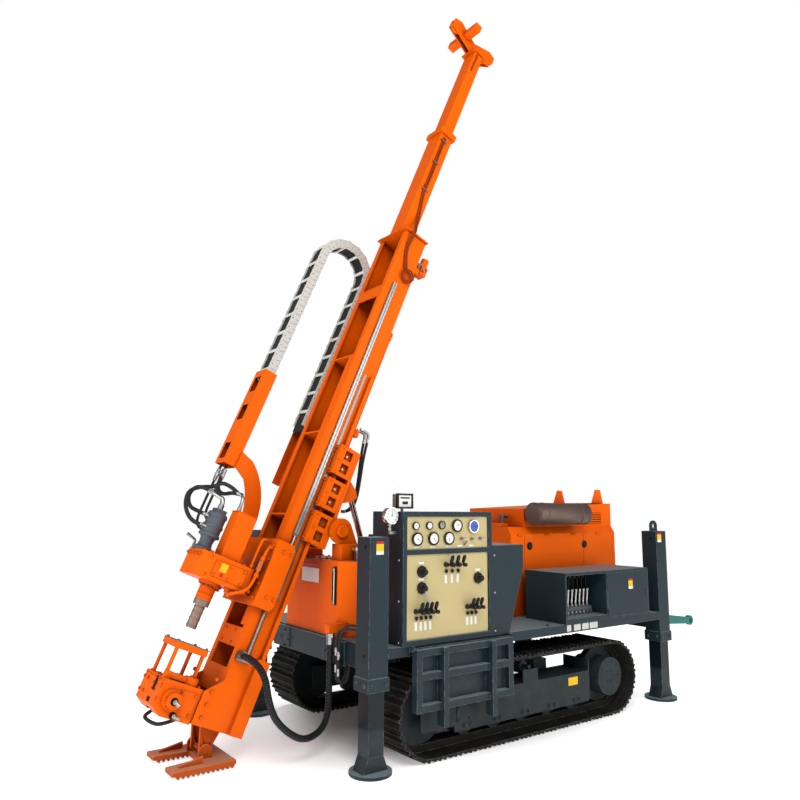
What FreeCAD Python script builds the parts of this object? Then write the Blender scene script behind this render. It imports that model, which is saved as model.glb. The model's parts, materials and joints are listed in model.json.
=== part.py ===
import FreeCAD, Part
import math
import os
import re
import Sketcher
from FreeCAD import Placement, Rotation, Vector

# Crawler core drilling rig. Frame: +X towards the mast and the bore hole, +Y towards the
# control console, +Z up, z = 0 on the ground under the tracks. Everything is in millimetres.
# Pieces that ride the leaning mast are drawn in the mast's own frame, whose origin is the
# tilt pivot: X is the distance in front of the pivot, Z runs up the mast.

SIZES = (
    # name, value, what it is
    ("pivot_x", 1300, "tilt pivot, ahead of the origin"),
    ("pivot_z", 1486, "tilt pivot above the ground"),
    ("mast_lean", 23, "degrees that the mast leans back from upright"),
    ("run_gap", 6, "clearance of sliding pieces"),
    ("seat_gap", 0.3, "clearance of a running fit"),
    ("skin", 6, "sheet metal wall"),

    ("deck_top", 758, "deck floor above the ground"),
    ("deck_plate", 8, "deck floor thickness"),
    ("deck_side", 905, "half width over the edge rails"),
    ("deck_nose", 1375, "front end of the deck floor"),
    ("deck_tail", -1900, "rear end of the deck floor"),
    ("rail_drop", 66, "depth of the edge rail"),
    ("rail_wall", 10, "edge rail thickness"),
    ("beam_side", 400, "lengthwise beams, off centre"),
    ("beam_wide", 80, "lengthwise beam width"),
    ("beam_deep", 130, "lengthwise beam depth"),
    ("nose_plate", 15, "front beam plate thickness"),
    ("nose_half", 520, "front beam half width"),
    ("nose_deep", 166, "front beam depth"),
    ("nose_front", 1400, "front face of the front beam"),
    ("pad_side", 330, "front buffer pads, off centre"),
    ("pad_wide", 150, "front buffer pad side"),
    ("pad_thick", 10, "front buffer pad thickness"),

    ("jack_front", 1385, "front jack centres"),
    ("jack_rear", -1750, "rear jack centres"),
    ("jack_side", 825, "jack centres, off centre"),
    ("jack_tube", 150, "jack outer tube side"),
    ("jack_wall", 10, "jack outer tube wall"),
    ("jack_top", 1466, "top of the jack tubes"),
    ("jack_foot", 500, "lower end of the jack tubes"),
    ("collar_tall", 85, "jack collar height"),
    ("collar_grow", 9, "jack collar thickness"),
    ("leg_side", 118, "jack leg side"),
    ("leg_top", 1060, "top of the jack leg"),
    ("pad_radius", 138, "jack pad radius"),
    ("pad_disc", 22, "jack pad thickness"),
    ("flare_tall", 90, "flare above the jack pad"),
    ("flare_side", 190, "flare width at the pad"),
    ("arm_wide", 90, "jack arm width"),
    ("arm_deep", 150, "jack arm depth"),
    ("arm_drop", 8, "jack arm below the deck floor"),
    ("ear_reach", 95, "lifting ear height"),
    ("ear_wide", 100, "lifting ear width"),
    ("ear_thick", 20, "lifting ear thickness"),
    ("ear_hole", 22, "lifting ear hole radius"),

    ("track_out", 915, "outer face of the tracks"),
    ("shoe_wide", 400, "track shoe width"),
    ("track_nose", 940, "idler axle"),
    ("track_tail", -982, "sprocket axle"),
    ("track_radius", 294, "track outer radius over the grousers"),
    ("grouser", 16, "grouser height"),
    ("shoe_plate", 12, "shoe thickness"),
    ("link_tall", 50, "link chain height"),
    ("link_wide", 110, "link chain width"),
    ("shoe_count", 41, "shoes in one track"),
    ("frame_out", 850, "outer plate of the track frame"),
    ("frame_in", 590, "inner plate of the track frame"),
    ("frame_top", 368, "top of the track frame"),
    ("frame_foot", 133, "lower edge of the track frame plates"),
    ("frame_wall", 12, "track frame plate thickness"),
    ("frame_nose", 700, "front end of the track frame beam"),
    ("plate_tall", 200, "height of the frame plates beside the idler"),
    ("frame_tail", -730, "rear end of the track frame"),
    ("arm_tall", 110, "height of the frame arms at the axles"),
    ("roller_radius", 62, "bottom roller radius"),
    ("roller_count", 5, "bottom rollers in one track"),
    ("drive_radius", 150, "final drive radius"),
    ("body_reach", 450, "cross beams, ahead of and behind centre"),
    ("body_wide", 150, "cross beam width"),
    ("body_deep", 130, "cross beam depth"),

    ("tank_front", 1370, "front of the oil tank"),
    ("tank_rear", 1130, "rear of the oil tank"),
    ("tank_half", 500, "oil tank half width"),
    ("tank_corner", 130, "cut corner of the oil tank"),
    ("tank_top", 1278, "top of the oil tank"),
    ("block_front", 1330, "front of the ear pedestals"),
    ("block_rear", 1150, "rear of the ear pedestals"),
    ("block_in", 215, "inner side of the ear pedestals"),
    ("block_out", 345, "outer side of the ear pedestals"),
    ("ear_plate", 30, "pivot ear thickness"),
    ("ear_radius", 92, "pivot ear top radius"),
    ("pin_radius", 34, "tilt pin radius"),
    ("boss_radius", 44, "tilt pin boss radius"),

    ("console_front", 1207, "console edge towards the mast"),
    ("console_rear", 394, "console edge towards the engine"),
    ("console_face", 920, "console face"),
    ("console_back", 560, "console back"),
    ("console_top", 1632, "console top"),
    ("console_rim", 34, "console frame width round the panels"),
    ("console_split", 1379, "underside of the gauge panel rail"),
    ("console_recess", 18, "panel depth behind the face"),
    ("wing_rear", 70, "side cabinet's upper rear corner"),
    ("wing_foot", 228, "side cabinet's lower rear corner"),
    ("wing_top", 1390, "side cabinet top"),
    ("wing_bend", 1224, "side cabinet's slanted edge starts"),

    ("lever_radius", 5, "control lever radius"),
    ("lever_long", 70, "control lever length"),
    ("knob_radius", 13, "control lever knob radius"),
    ("travel_levers", 8, "travel levers in the valve box"),
    ("box_front", -404, "valve box edge towards the mast"),
    ("box_rear", -1500, "valve box rear edge"),
    ("box_back", 485, "valve box back"),
    ("box_tall", 395, "valve box height"),
    ("box_split", -915, "wall between the open and the closed half"),

    ("hood_front", -340, "front of the engine hood"),
    ("hood_rear", -1760, "rear of the engine hood"),
    ("hood_half", 388, "engine hood half width"),
    ("hood_top", 1440, "engine hood shoulder"),
    ("shoulder", 38, "slant of the hood's shoulder"),
    ("shoulder_rise", 60, "height of the slanted shoulder"),
    ("engine_front", -520, "front of the engine"),
    ("engine_rear", -1480, "rear of the engine"),
    ("engine_half", 260, "engine half width"),
    ("engine_top", 1420, "top of the engine"),
    ("cowl_front", -545, "front of the raised cowl"),
    ("cowl_low", 1659, "raised cowl's front top edge"),
    ("cowl_high", 1715, "raised cowl's rear top edge"),
    ("seam", 4, "gap between the hood's doors"),
    ("grille_front", -1363, "front edge of the cowl grille"),
    ("grille_rear", -1610, "rear edge of the cowl grille"),
    ("grille_foot", 1519, "lower edge of the cowl grille"),
    ("grille_top", 1628, "upper edge of the cowl grille"),
    ("slat_count", 5, "slats in the cowl grille"),
    ("rest_x", -1700, "mast rest, fore and aft"),
    ("rest_wide", 170, "mast rest width"),
    ("rest_side", 235, "mast rest prongs, inner face"),
    ("rest_base", 1720, "mast rest saddle"),
    ("rest_top", 1850, "mast rest prong tips"),
    ("muffler_y", 470, "muffler, off centre"),
    ("muffler_z", 1615, "muffler axis height"),
    ("muffler_radius", 96, "muffler radius"),
    ("muffler_front", -532, "muffler front end"),
    ("muffler_rear", -1211, "muffler rear end"),
    ("tow_y", 700, "towing eye, off centre"),
    ("tow_reach", -2500, "towing eye tip"),

    ("step_front", 1127, "folding platform front edge"),
    ("step_rear", 244, "folding platform rear edge"),
    ("step_tall", 395, "folding platform length when it hangs"),
    ("step_deep", 50, "folding platform thickness"),
    ("step_bar", 45, "folding platform rail width"),
    ("step_pin_in", 14, "platform hinge pin, outside the platform's inner face"),
    ("step_drop", 20, "platform hinge pin below the deck floor"),
    ("step_pin", 8, "platform hinge pin radius"),
    ("step_lug", 12, "platform hinge lug thickness"),

    ("plate_near", 55, "slide frame plate, in front of the pivot"),
    ("plate_thick", 25, "slide frame plate thickness"),
    ("rail_back", 160, "mast rails, in front of the pivot"),
    ("rail_top", 1210, "upper end of the mast rails"),
    ("rail_thick", 30, "mast rail thickness"),
    ("rail_out", 222, "mast rails, off centre"),
    ("clamp_wall", 34, "guide clamp wall"),
    ("clamp_long", 230, "guide clamp length"),
    ("clamp_pitch", 265, "guide clamp pitch"),
    ("clamp_first", -50, "lowest guide clamp's centre"),
    ("lug_radius", 58, "tilt lug radius"),
    ("lug_thick", 48, "tilt lug thickness"),

    ("lift_y", 150, "tilt cylinders, off centre"),
    ("lift_eye_u", 300, "tilt cylinder eye, up the mast"),
    ("lift_eye_w", -45, "tilt cylinder eye, in front of the pivot"),
    ("lift_foot_x", 850, "tilt cylinder foot pin"),
    ("lift_foot_z", 850, "tilt cylinder foot pin height"),
    ("lift_barrel", 45, "tilt cylinder barrel radius"),
    ("lift_rod", 22, "tilt cylinder rod radius"),
    ("lift_neck", 48, "tilt cylinder barrel's start above its pin"),
    ("lift_eye", 36, "tilt cylinder foot eye radius"),
    ("lift_long", 530, "tilt cylinder barrel length from its pin"),
    ("lift_inside", 343, "tilt cylinder rod end above the foot pin"),

    ("shift_y", 120, "mast slide cylinder, off centre"),
    ("shift_w", 122, "mast slide cylinder, in front of the pivot"),
    ("shift_radius", 22, "mast slide cylinder radius"),
    ("shift_rod", 13, "mast slide rod radius"),
    ("shift_foot", 620, "mast slide cylinder foot"),
    ("shift_head", 1680, "mast slide cylinder head"),
    ("shift_end", 1030, "mast slide rod's hidden end"),
    ("shift_top", 2200, "mast slide rod's bracket"),

    ("mast_half", 190, "mast beam half width"),
    ("mast_back", 150, "mast beam back, in front of the pivot"),
    ("mast_front", 373, "mast beam front, in front of the pivot"),
    ("mast_wall", 12, "mast beam plate"),
    ("mast_lip", 50, "mast front flange width"),
    ("mast_foot", -1490, "lower end of the mast beam"),
    ("mast_head", 2565, "upper end of the mast beam"),
    ("hose_start", 257, "hose end beside the mast, off centre"),
    ("feed_motor", 2290, "feed motor on the mast's back"),
    ("rib_first", -30, "lowest mast rib"),
    ("rib_pitch", 675, "mast rib pitch"),
    ("rib_thick", 14, "mast rib thickness"),
    ("cap_thick", 12, "mast cap plate thickness"),
    ("cap_half", 215, "mast cap plate half width"),
    ("heel_back", 116, "back of the mast's lower stiffener, in front of the pivot"),
    ("heel_tall", 490, "height of the mast's lower stiffener"),
    ("skirt_front", 480, "front edge of the mast foot plates"),
    ("skirt_top", -1180, "upper edge of the mast foot plates"),

    ("jib_back", 232, "mast jib back"),
    ("jib_front", 368, "mast jib front"),
    ("jib_half", 92, "mast jib half width"),
    ("jib_wall", 8, "mast jib wall"),
    ("jib_top", 3750, "upper end of the mast jib"),
    ("tip_foot", 3400, "hidden end of the jib extension"),
    ("tip_top", 4860, "upper end of the jib extension"),
    ("sheave_radius", 68, "crown sheave radius"),
    ("sheave_wide", 30, "crown sheave width"),
    ("sheave_rise", 140, "crown sheave axles above the jib extension"),
    ("sheave_front", 600, "front crown sheave axle"),
    ("sheave_back", 160, "rear crown sheave axle"),

    ("head_w", 660, "spindle axis, in front of the pivot"),
    ("carriage_top", -230, "upper end of the carriage"),
    ("carriage_foot", -700, "lower end of the carriage"),
    ("shoe_rear", 110, "carriage side plate, behind the mast front"),
    ("shoe_deep", 38, "gap between the mast side and the carriage side plate"),
    ("gear_top", -480, "gearbox top"),
    ("gear_foot", -650, "gearbox underside"),
    ("gear_half", 190, "gearbox half width"),
    ("gear_front", 850, "gearbox front"),
    ("sleeve_radius", 54, "spindle sleeve radius"),
    ("shaft_radius", 42, "spindle bearing bore radius"),
    ("sleeve_foot", -810, "spindle sleeve lower end"),
    ("sub_radius", 36, "saver sub radius"),
    ("sub_foot", -965, "saver sub lower end"),
    ("motor_radius", 66, "head motor radius"),
    ("motor_w", 790, "head motor axis"),
    ("motor_top", -205, "head motor top"),

    ("chain_y", -350, "energy chain, off centre"),
    ("chain_wide", 160, "energy chain width"),
    ("chain_thick", 84, "energy chain height"),
    ("chain_w", 550, "energy chain bend centre"),
    ("chain_u", 2170, "energy chain bend height"),
    ("chain_radius", 228, "energy chain bend radius"),
    ("chain_end", 965, "energy chain's end in the bracket"),
    ("chain_foot", 700, "energy chain's end in the trough"),
    ("chain_pitch", 88, "energy chain link pitch"),
    ("chain_pocket", 22, "pocket depth between the chain's bars"),
    ("chain_link", 14, "chain side link thickness"),
    ("bracket_foot", 190, "chain bracket lower end"),
    ("arm_deep_w", 170, "depth of the bracket's curved arm"),
    ("arm_root", 110, "length of the arm's seat on the carriage"),
    ("bracket_top", 1000, "chain bracket upper end"),
    ("trough_foot", 250, "chain trough lower end"),
    ("trough_top", 1900, "chain trough upper end"),

    ("clamp_back", 480, "rod clamp back"),
    ("clamp_front", 752, "rod clamp front"),
    ("clamp_half", 175, "rod clamp half width"),
    ("clamp_top", -1285, "rod clamp top"),
    ("clamp_base", -1500, "rod clamp underside"),
    ("clamp_bore", 62, "rod clamp bore radius"),
    ("ram_radius", 62, "radius of the clamp's side rams"),
    ("ram_long", 42, "length of the clamp's side rams"),
    ("guide_top", -1062, "rod guide frame top"),

    ("foot_u", -1630, "foot pin, up the mast"),
    ("foot_w", 270, "foot pin, in front of the pivot"),
    ("foot_half", 245, "foot half width"),
    ("foot_rear", 155, "foot plate behind its pin"),
    ("foot_long", 415, "foot length"),
    ("foot_web", 190, "foot plate length before its fork"),
    ("tooth_pitch", 32, "foot tooth pitch"),
    ("foot_plate", 26, "foot plate thickness"),
    ("foot_teeth", 24, "foot tooth height"),
    ("foot_pin", 16, "foot pin radius"),
    ("foot_eye", 34, "radius of the eyes on the foot pin"),
    ("prong_wide", 130, "foot prong width"),
)

doc = FreeCAD.newDocument("CoreDrillingRig")
sheet = doc.addObject("Spreadsheet::Sheet", "Sizes")
for row, (name, value, note) in enumerate(SIZES, start=1):
    sheet.set("A%d" % row, name)
    sheet.set("B%d" % row, str(value))
    sheet.set("C%d" % row, note)
    sheet.setAlias("B%d" % row, name)
doc.recompute()
NAMES = {name for name, value, note in SIZES}
NODES = []

# Places that follow from several cells
WHEEL_REACH = "(track_radius - grouser - shoe_plate - link_tall)"
DECK_NECK = "(jack_side - jack_tube / 2)"
CLAMP_OUT = "(rail_out + run_gap + clamp_wall)"
EAR_IN = "(rail_out + clamp_wall + 2 * run_gap)"
BLOCK_TOP = "(pivot_z - ear_radius)"
STEP_NEAR = "(track_out + run_gap)"
STEP_PIN_Y = "(track_out + run_gap + step_pin_in)"
STEP_PIN_Z = "(deck_top - step_drop)"
CARRIAGE_SIDE = "(mast_half + shoe_deep)"
SHEAVE_U = "(tip_top + sheave_rise)"

# Sketch plane: the sketch's turn and the direction of its depth
PLANES = {
    "side": (Rotation(Vector(1, 0, 0), 90), Vector(0, 1, 0)),
    "front": (Rotation(Vector(1, 1, 1), 120), Vector(1, 0, 0)),
    "plan": (Rotation(), Vector(0, 0, 1)),
}
DEPTH = {"side": "y", "front": "x", "plan": "z"}
TURNS = {
    "x": Rotation(Vector(0, 1, 0), 90),
    "y": Rotation(Vector(1, 0, 0), -90),
    "z": Rotation(),
}


def size(name):
    """Value of one cell."""
    return float(getattr(sheet, name))


def full(text):
    """An expression in which each cell name is given its sheet."""
    return re.sub(r"[a-z_]+", lambda word: "Sizes." * (word[0] in NAMES) + word[0], str(text))


def bind(part, field, text):
    """Ties a field of a part to an expression over the cells."""
    part.setExpression(field, full(text))


def place(part, x, y, z):
    """Ties a part's position to expressions."""
    for axis, text in zip("xyz", (x, y, z)):
        bind(part, "Placement.Base." + axis, text)


def box(x0, x1, y0, y1, z0, z1):
    """Block between two corners."""
    part = doc.addObject("Part::Box", "Block")
    for field, low, high in (("Length", x0, x1), ("Width", y0, y1), ("Height", z0, z1)):
        bind(part, field, "(%s) - (%s)" % (high, low))
    place(part, x0, y0, z0)
    return part


def rod(axis, radius, start, end, one, two):
    """Round bar along an axis; one and two are its other coordinates in x, y, z order."""
    part = doc.addObject("Part::Cylinder", "Bar")
    bind(part, "Radius", radius)
    bind(part, "Height", "(%s) - (%s)" % (end, start))
    part.Placement = Placement(Vector(), TURNS[axis])
    spot = [one, two]
    spot.insert("xyz".index(axis), start)
    place(part, *spot)
    return part


def prism(plane, points, start, end):
    """Extrusion of a straight-sided outline whose corners are tied to the cells."""
    turn, way = PLANES[plane]
    sketch = doc.addObject("Sketcher::SketchObject", "Outline")
    here = [[float(sheet.evalExpression(full(text))) for text in point] for point in points]
    count = len(points)
    for index in range(count):
        first = Vector(*here[index], 0)
        second = Vector(*here[(index + 1) % count], 0)
        sketch.addGeometry(Part.LineSegment(first, second))
    for index in range(count):
        sketch.addConstraint(Sketcher.Constraint("Coincident", index, 2, (index + 1) % count, 1))
    for index, point in enumerate(points):
        for kind, text, now in zip(("DistanceX", "DistanceY"), point, here[index]):
            number = sketch.addConstraint(Sketcher.Constraint(kind, -1, 1, index, 1, now))
            bind(sketch, "Constraints[%d]" % number, text)
    sketch.Placement = Placement(Vector(), turn)
    bind(sketch, "Placement.Base." + DEPTH[plane], start)
    part = doc.addObject("Part::Extrusion", "Prism")
    part.Base = sketch
    part.DirMode = "Custom"
    part.Dir = way
    part.Solid = True
    bind(part, "LengthFwd", "(%s) - (%s)" % (end, start))
    return part


def fuse(parts):
    """One solid from several."""
    part = doc.addObject("Part::MultiFuse", "Joined")
    part.Shapes = parts
    part.Refine = True
    return part


def cut(base, tools):
    """A part with others taken away."""
    part = doc.addObject("Part::Cut", "Cut")
    part.Base = base
    part.Tool = tools[0] if len(tools) == 1 else fuse(tools)
    return part


def group(parts):
    """Separate solids that share a node."""
    part = doc.addObject("Part::Compound", "Group")
    part.Links = parts
    return part


def mirror(part):
    """The same piece on the other side of the machine."""
    other = doc.addObject("Part::Mirroring", "Twin")
    other.Source = part
    other.Normal = Vector(0, 1, 0)
    return other


def pair(part):
    """A piece and its twin on the other side."""
    return [part, mirror(part)]


def node(label, part):
    """Registers a sub-part under its name."""
    part.Label = label
    NODES.append(part)
    return part


def on_mast(label, part):
    """Registers a sub-part that is drawn in the mast's frame."""
    part.Placement = Placement(Vector(), Rotation(Vector(0, -1, 0), 30))
    bind(part, "Placement.Base.x", "pivot_x")
    bind(part, "Placement.Base.z", "pivot_z")
    bind(part, "Placement.Rotation.Angle", "mast_lean * 1 deg")
    return node(label, part)


def shaped(shape):
    """A part whose shape is worked out in code."""
    part = doc.addObject("Part::Feature", "Form")
    part.Shape = shape
    return part


# Tracks

def track_ring():
    """One track: shoes with three grousers each round the loop, on a link chain."""
    nose, tail, radius = size("track_nose"), size("track_tail"), size("track_radius")
    grouser, plate = size("grouser"), size("shoe_plate")
    base = radius - grouser
    straight = nose - tail
    length = 2 * straight + 2 * math.pi * base
    pitch = length / size("shoe_count")

    def spot(along, rise):
        """Point at a distance round the loop and a height off the shoes."""
        along = along % length
        reach = base + rise
        bend = math.pi * base
        if along < straight:
            return Vector(nose - along, 0, radius + reach)
        if along < straight + bend:
            turn = (along - straight) / base
            return Vector(tail - reach * math.sin(turn), 0, radius + reach * math.cos(turn))
        if along < 2 * straight + bend:
            return Vector(tail + along - straight - bend, 0, radius - reach)
        turn = (along - 2 * straight - bend) / base
        return Vector(nose + reach * math.sin(turn), 0, radius - reach * math.cos(turn))

    # Share of the pitch, height: a gap between shoes, then three grousers
    shoe = (
        (0.00, -plate * 0.6), (0.05, 0), (0.13, grouser), (0.19, grouser), (0.24, 0),
        (0.50, grouser * 0.8), (0.76, 0), (0.81, grouser), (0.87, grouser), (0.95, 0),
    )
    edge = [spot((link + share) * pitch, rise)
            for link in range(int(size("shoe_count"))) for share, rise in shoe]
    outer = Part.Face(Part.makePolygon(edge + edge[:1]))
    belt = outer.cut(loop_face(base - plate))
    links = loop_face(base - plate + 0.01).cut(loop_face(base - plate - size("link_tall")))
    wide, link_wide = size("shoe_wide"), size("link_wide")
    middle = size("track_out") - wide / 2
    belt = belt.extrude(Vector(0, wide, 0))
    belt.translate(Vector(0, middle - wide / 2, 0))
    links = links.extrude(Vector(0, link_wide, 0))
    links.translate(Vector(0, middle - link_wide / 2, 0))
    return belt.fuse(links)


def loop_face(reach):
    """Stadium round both axles."""
    nose, tail, rise = size("track_nose"), size("track_tail"), size("track_radius")
    up, down = rise + reach, rise - reach
    corners = [Vector(nose, 0, up), Vector(tail, 0, up), Vector(tail - reach, 0, rise),
               Vector(tail, 0, down), Vector(nose, 0, down), Vector(nose + reach, 0, rise)]
    edges = [Part.LineSegment(corners[0], corners[1]), Part.Arc(*corners[1:4]),
             Part.LineSegment(corners[3], corners[4]),
             Part.Arc(corners[4], corners[5], corners[0])]
    return Part.Face(Part.Wire([edge.toShape() for edge in edges]))


track = shaped(track_ring())
node("track_left", group([track]))
node("track_right", group([mirror(track)]))



def track_frame():
    """Side plates over a box beam, with arms to both axles and a top roller bracket."""
    beam = prism("front", (
        ("frame_in", "frame_foot"), ("frame_in + frame_wall", "frame_foot"),
        ("frame_in + frame_wall", "frame_foot + 85"), ("frame_out - frame_wall", "frame_foot + 85"),
        ("frame_out - frame_wall", "frame_foot"), ("frame_out", "frame_foot"),
        ("frame_out", "frame_top"), ("frame_in", "frame_top"),
    ), "frame_tail", "frame_nose")
    pieces = [beam]
    for low in ("frame_in", "frame_out - frame_wall"):
        pieces.append(box("frame_nose", "track_nose + 60", low, low + " + frame_wall",
                          "track_radius - plate_tall / 2 - 20", "track_radius + plate_tall / 2 - 40"))
    pieces.append(box("track_tail + 60", "frame_tail", "frame_in", "frame_in + 40",
                      "track_radius - arm_tall / 2", "track_radius + arm_tall / 2"))
    pieces.append(box("frame_tail - frame_wall", "frame_tail", "frame_in", "frame_out",
                      "frame_foot + 10", "frame_top + 85"))
    pieces.append(box("-140", "20", "frame_out - frame_wall", "frame_out", "frame_top",
                      "frame_top + 90"))
    drive = rod("y", "drive_radius - 20", "frame_in - 30", "frame_out", "track_tail",
                "track_radius")
    return cut(fuse(pieces), [drive])


def track_wheels():
    """Idler, sprocket with its final drive, bottom rollers and the top roller."""
    middle = "(track_out - shoe_wide / 2)"
    inner, outer = "frame_in + frame_wall", "frame_out - frame_wall"
    wheels = [fuse([
        rod("y", WHEEL_REACH, middle + " - 45", middle + " + 45", "track_nose", "track_radius"),
        rod("y", "38", inner, outer, "track_nose", "track_radius"),
    ])]
    wheels.append(fuse([
        rod("y", WHEEL_REACH, middle + " - 30", middle + " + 30", "track_tail", "track_radius"),
        rod("y", "drive_radius", middle, "frame_out + 20", "track_tail", "track_radius"),
        rod("y", "drive_radius - 20", "frame_in - 30", middle, "track_tail", "track_radius"),
    ]))
    step = "(frame_nose - frame_tail) / roller_count"
    for index in range(int(size("roller_count"))):
        at = "frame_tail + %s * %.1f" % (step, index + 0.5)
        height = "grouser + shoe_plate + link_tall + roller_radius"
        wheels.append(fuse([
            rod("y", "roller_radius", middle + " - 65", middle + " + 65", at, height),
            rod("y", "18", inner, outer, at, height),
        ]))
    top = "track_radius + %s - 40" % WHEEL_REACH
    wheels.append(fuse([
        rod("y", "40", middle + " - 60", middle + " + 60", "-60", top),
        rod("y", "15", middle, outer, "-60", top),
    ]))
    return group(wheels)


frame = track_frame()
node("track_frame_left", frame)
node("track_frame_right", group([mirror(frame)]))
wheels = track_wheels()
node("track_wheels_left", wheels)
node("track_wheels_right", group([mirror(wheels)]))


# Carbody and deck

def carbody():
    """Two cross beams between the track frames with posts up to the deck beams."""
    low = "track_radius + 20"
    pieces = []
    for way in ("-", ""):
        near = "%sbody_reach - body_wide / 2" % way
        far = "%sbody_reach + body_wide / 2" % way
        pieces.append(fuse([
            box(near, far, "-frame_in", "frame_in", low, low + " + body_deep"),
            *[box(near + " + 20", far + " - 20", side + "beam_side - beam_wide / 2",
                  side + "beam_side + beam_wide / 2", low + " + body_deep",
                  "deck_top - deck_plate - beam_deep") for side in ("-", "")],
        ]))
    return group(pieces)


def deck():
    """Floor plate, edge rails, lengthwise beams and the jack arms."""
    under = "deck_top - deck_plate"
    near, far = "jack_rear + jack_tube / 2", "jack_front - jack_tube / 2"
    floor = prism("plan", (
        (near, "-deck_side"), (far, "-deck_side"), (far, "-" + DECK_NECK), ("deck_nose", "-" + DECK_NECK),
        ("deck_nose", DECK_NECK), (far, DECK_NECK), (far, "deck_side"), (near, "deck_side"),
        (near, DECK_NECK), ("deck_tail", DECK_NECK), ("deck_tail", "-" + DECK_NECK),
        (near, "-" + DECK_NECK),
    ), under, "deck_top")
    rail = box(near, far, "deck_side - rail_wall", "deck_side", "deck_top - rail_drop", under)
    beam = box("deck_tail", "jack_front - jack_tube / 2", "beam_side - beam_wide / 2",
               "beam_side + beam_wide / 2", under + " - beam_deep", under)
    pieces = [floor] + pair(rail) + pair(beam)
    for start in ("step_rear - step_lug - 1", "step_front + 1"):
        pin = rod("x", "step_pin + seat_gap", start + " - 1", start + " + step_lug + 1",
                  STEP_PIN_Y, STEP_PIN_Z)
        lug = box(start, start + " + step_lug", "deck_side", STEP_PIN_Y + " + step_drop - 4",
                  STEP_PIN_Z + " - step_drop + 4", "deck_top")
        pieces.append(cut(lug, [pin]))
    for start, end in ((far, "deck_nose"),
                       ("jack_rear - arm_wide / 2", "jack_rear + arm_wide / 2")):
        pieces.append(box(start, end, "jack_tube / 2 - jack_side", "jack_side - jack_tube / 2",
                          "deck_top - arm_drop - arm_deep", under))
    return fuse(pieces)


def front_beam():
    """Plate across the nose with two buffer pads."""
    back = "nose_front - nose_plate"
    pieces = [box(back, "nose_front", "-nose_half", "nose_half", "deck_top - nose_deep",
                  "deck_top - deck_plate"),
              box("deck_nose", back, "-nose_half", "nose_half", "deck_top - nose_deep + 20",
                  "deck_top - deck_plate")]
    for side in ("-", ""):
        pieces.append(box("nose_front", "nose_front + pad_thick", side + "pad_side - pad_wide / 2",
                          side + "pad_side + pad_wide / 2", "deck_top - nose_deep + 10",
                          "deck_top - 20"))
    return fuse(pieces)


node("carbody", carbody())
node("deck", deck())
node("front_beam", front_beam())


# Jacks

def jack_tube(at):
    """Square outer tube with a collar, capped on top."""
    half = "jack_tube / 2"
    side = "jack_side"
    wall = " - jack_wall"
    body = box(at + " - " + half, at + " + " + half, side + " - " + half, side + " + " + half,
               "jack_foot", "jack_top")
    grown = half + " + collar_grow"
    collar = box(at + " - (" + grown + ")", at + " + (" + grown + ")",
                 side + " - (" + grown + ")", side + " + (" + grown + ")",
                 "jack_foot", "jack_foot + collar_tall")
    hollow = "(" + half + wall + ")"
    bore = box(at + " - " + hollow, at + " + " + hollow, side + " - " + hollow,
               side + " + " + hollow, "jack_foot + collar_tall", "jack_top - 10")
    snug = "(leg_side / 2 + seat_gap)"
    mouth = box(at + " - " + snug, at + " + " + snug, side + " - " + snug,
                side + " + " + snug, "jack_foot", "jack_foot + collar_tall")
    return cut(fuse([body, collar]), [bore, mouth])


def lifting_ear(at):
    """Upright plate with a hole on top of a rear jack."""
    plate = box(at + " - ear_wide / 2", at + " + ear_wide / 2", "jack_side - ear_thick / 2",
                "jack_side + ear_thick / 2", "jack_top", "jack_top + ear_reach - ear_wide / 2")
    crown = rod("y", "ear_wide / 2", "jack_side - ear_thick / 2", "jack_side + ear_thick / 2",
                at, "jack_top + ear_reach - ear_wide / 2")
    hole = rod("y", "ear_hole", "jack_side - ear_thick", "jack_side + ear_thick",
               at, "jack_top + ear_reach - ear_wide / 2")
    return cut(fuse([plate, crown]), [hole])


front_tube = jack_tube("jack_front")
rear_tube = fuse([jack_tube("jack_rear"), lifting_ear("jack_rear")])
node("jack_tubes_front", group(pair(front_tube)))
node("jack_tubes_rear", group(pair(rear_tube)))


def jack_leg(at):
    """Square leg, flared foot and round pad."""
    half = "leg_side / 2"
    leg = box(at + " - " + half, at + " + " + half, "jack_side - " + half, "jack_side + " + half,
              "pad_disc", "leg_top")
    pad = rod("z", "pad_radius", "0", "pad_disc", at, "jack_side")
    flare = prism("side", (
        (at + " - flare_side / 2", "pad_disc"), (at + " + flare_side / 2", "pad_disc"),
        (at + " + leg_side / 2", "pad_disc + flare_tall"),
        (at + " - leg_side / 2", "pad_disc + flare_tall"),
    ), "jack_side - leg_side / 2 - 1", "jack_side + leg_side / 2 + 1")
    return fuse([leg, pad, flare])


for word, at in (("front", "jack_front"), ("rear", "jack_rear")):
    leg = jack_leg(at)
    node("jack_leg_%s_left" % word, leg)
    node("jack_leg_%s_right" % word, group([mirror(leg)]))


# Oil tank with the tilt ears

tank = prism("plan", (
    ("tank_rear", "-tank_half"), ("tank_front - tank_corner", "-tank_half"),
    ("tank_front", "tank_corner - tank_half"), ("tank_front", "tank_half - tank_corner"),
    ("tank_front - tank_corner", "tank_half"), ("tank_rear", "tank_half"),
), "deck_top", "tank_top")
port_block = box("tank_front - tank_corner + 60", "1472", "370", "430", "800", "860")
node("oil_tank", fuse([tank, port_block] + pair(
    box("block_rear", "block_front", "block_in", "block_out", "tank_top", BLOCK_TOP))))


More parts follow.
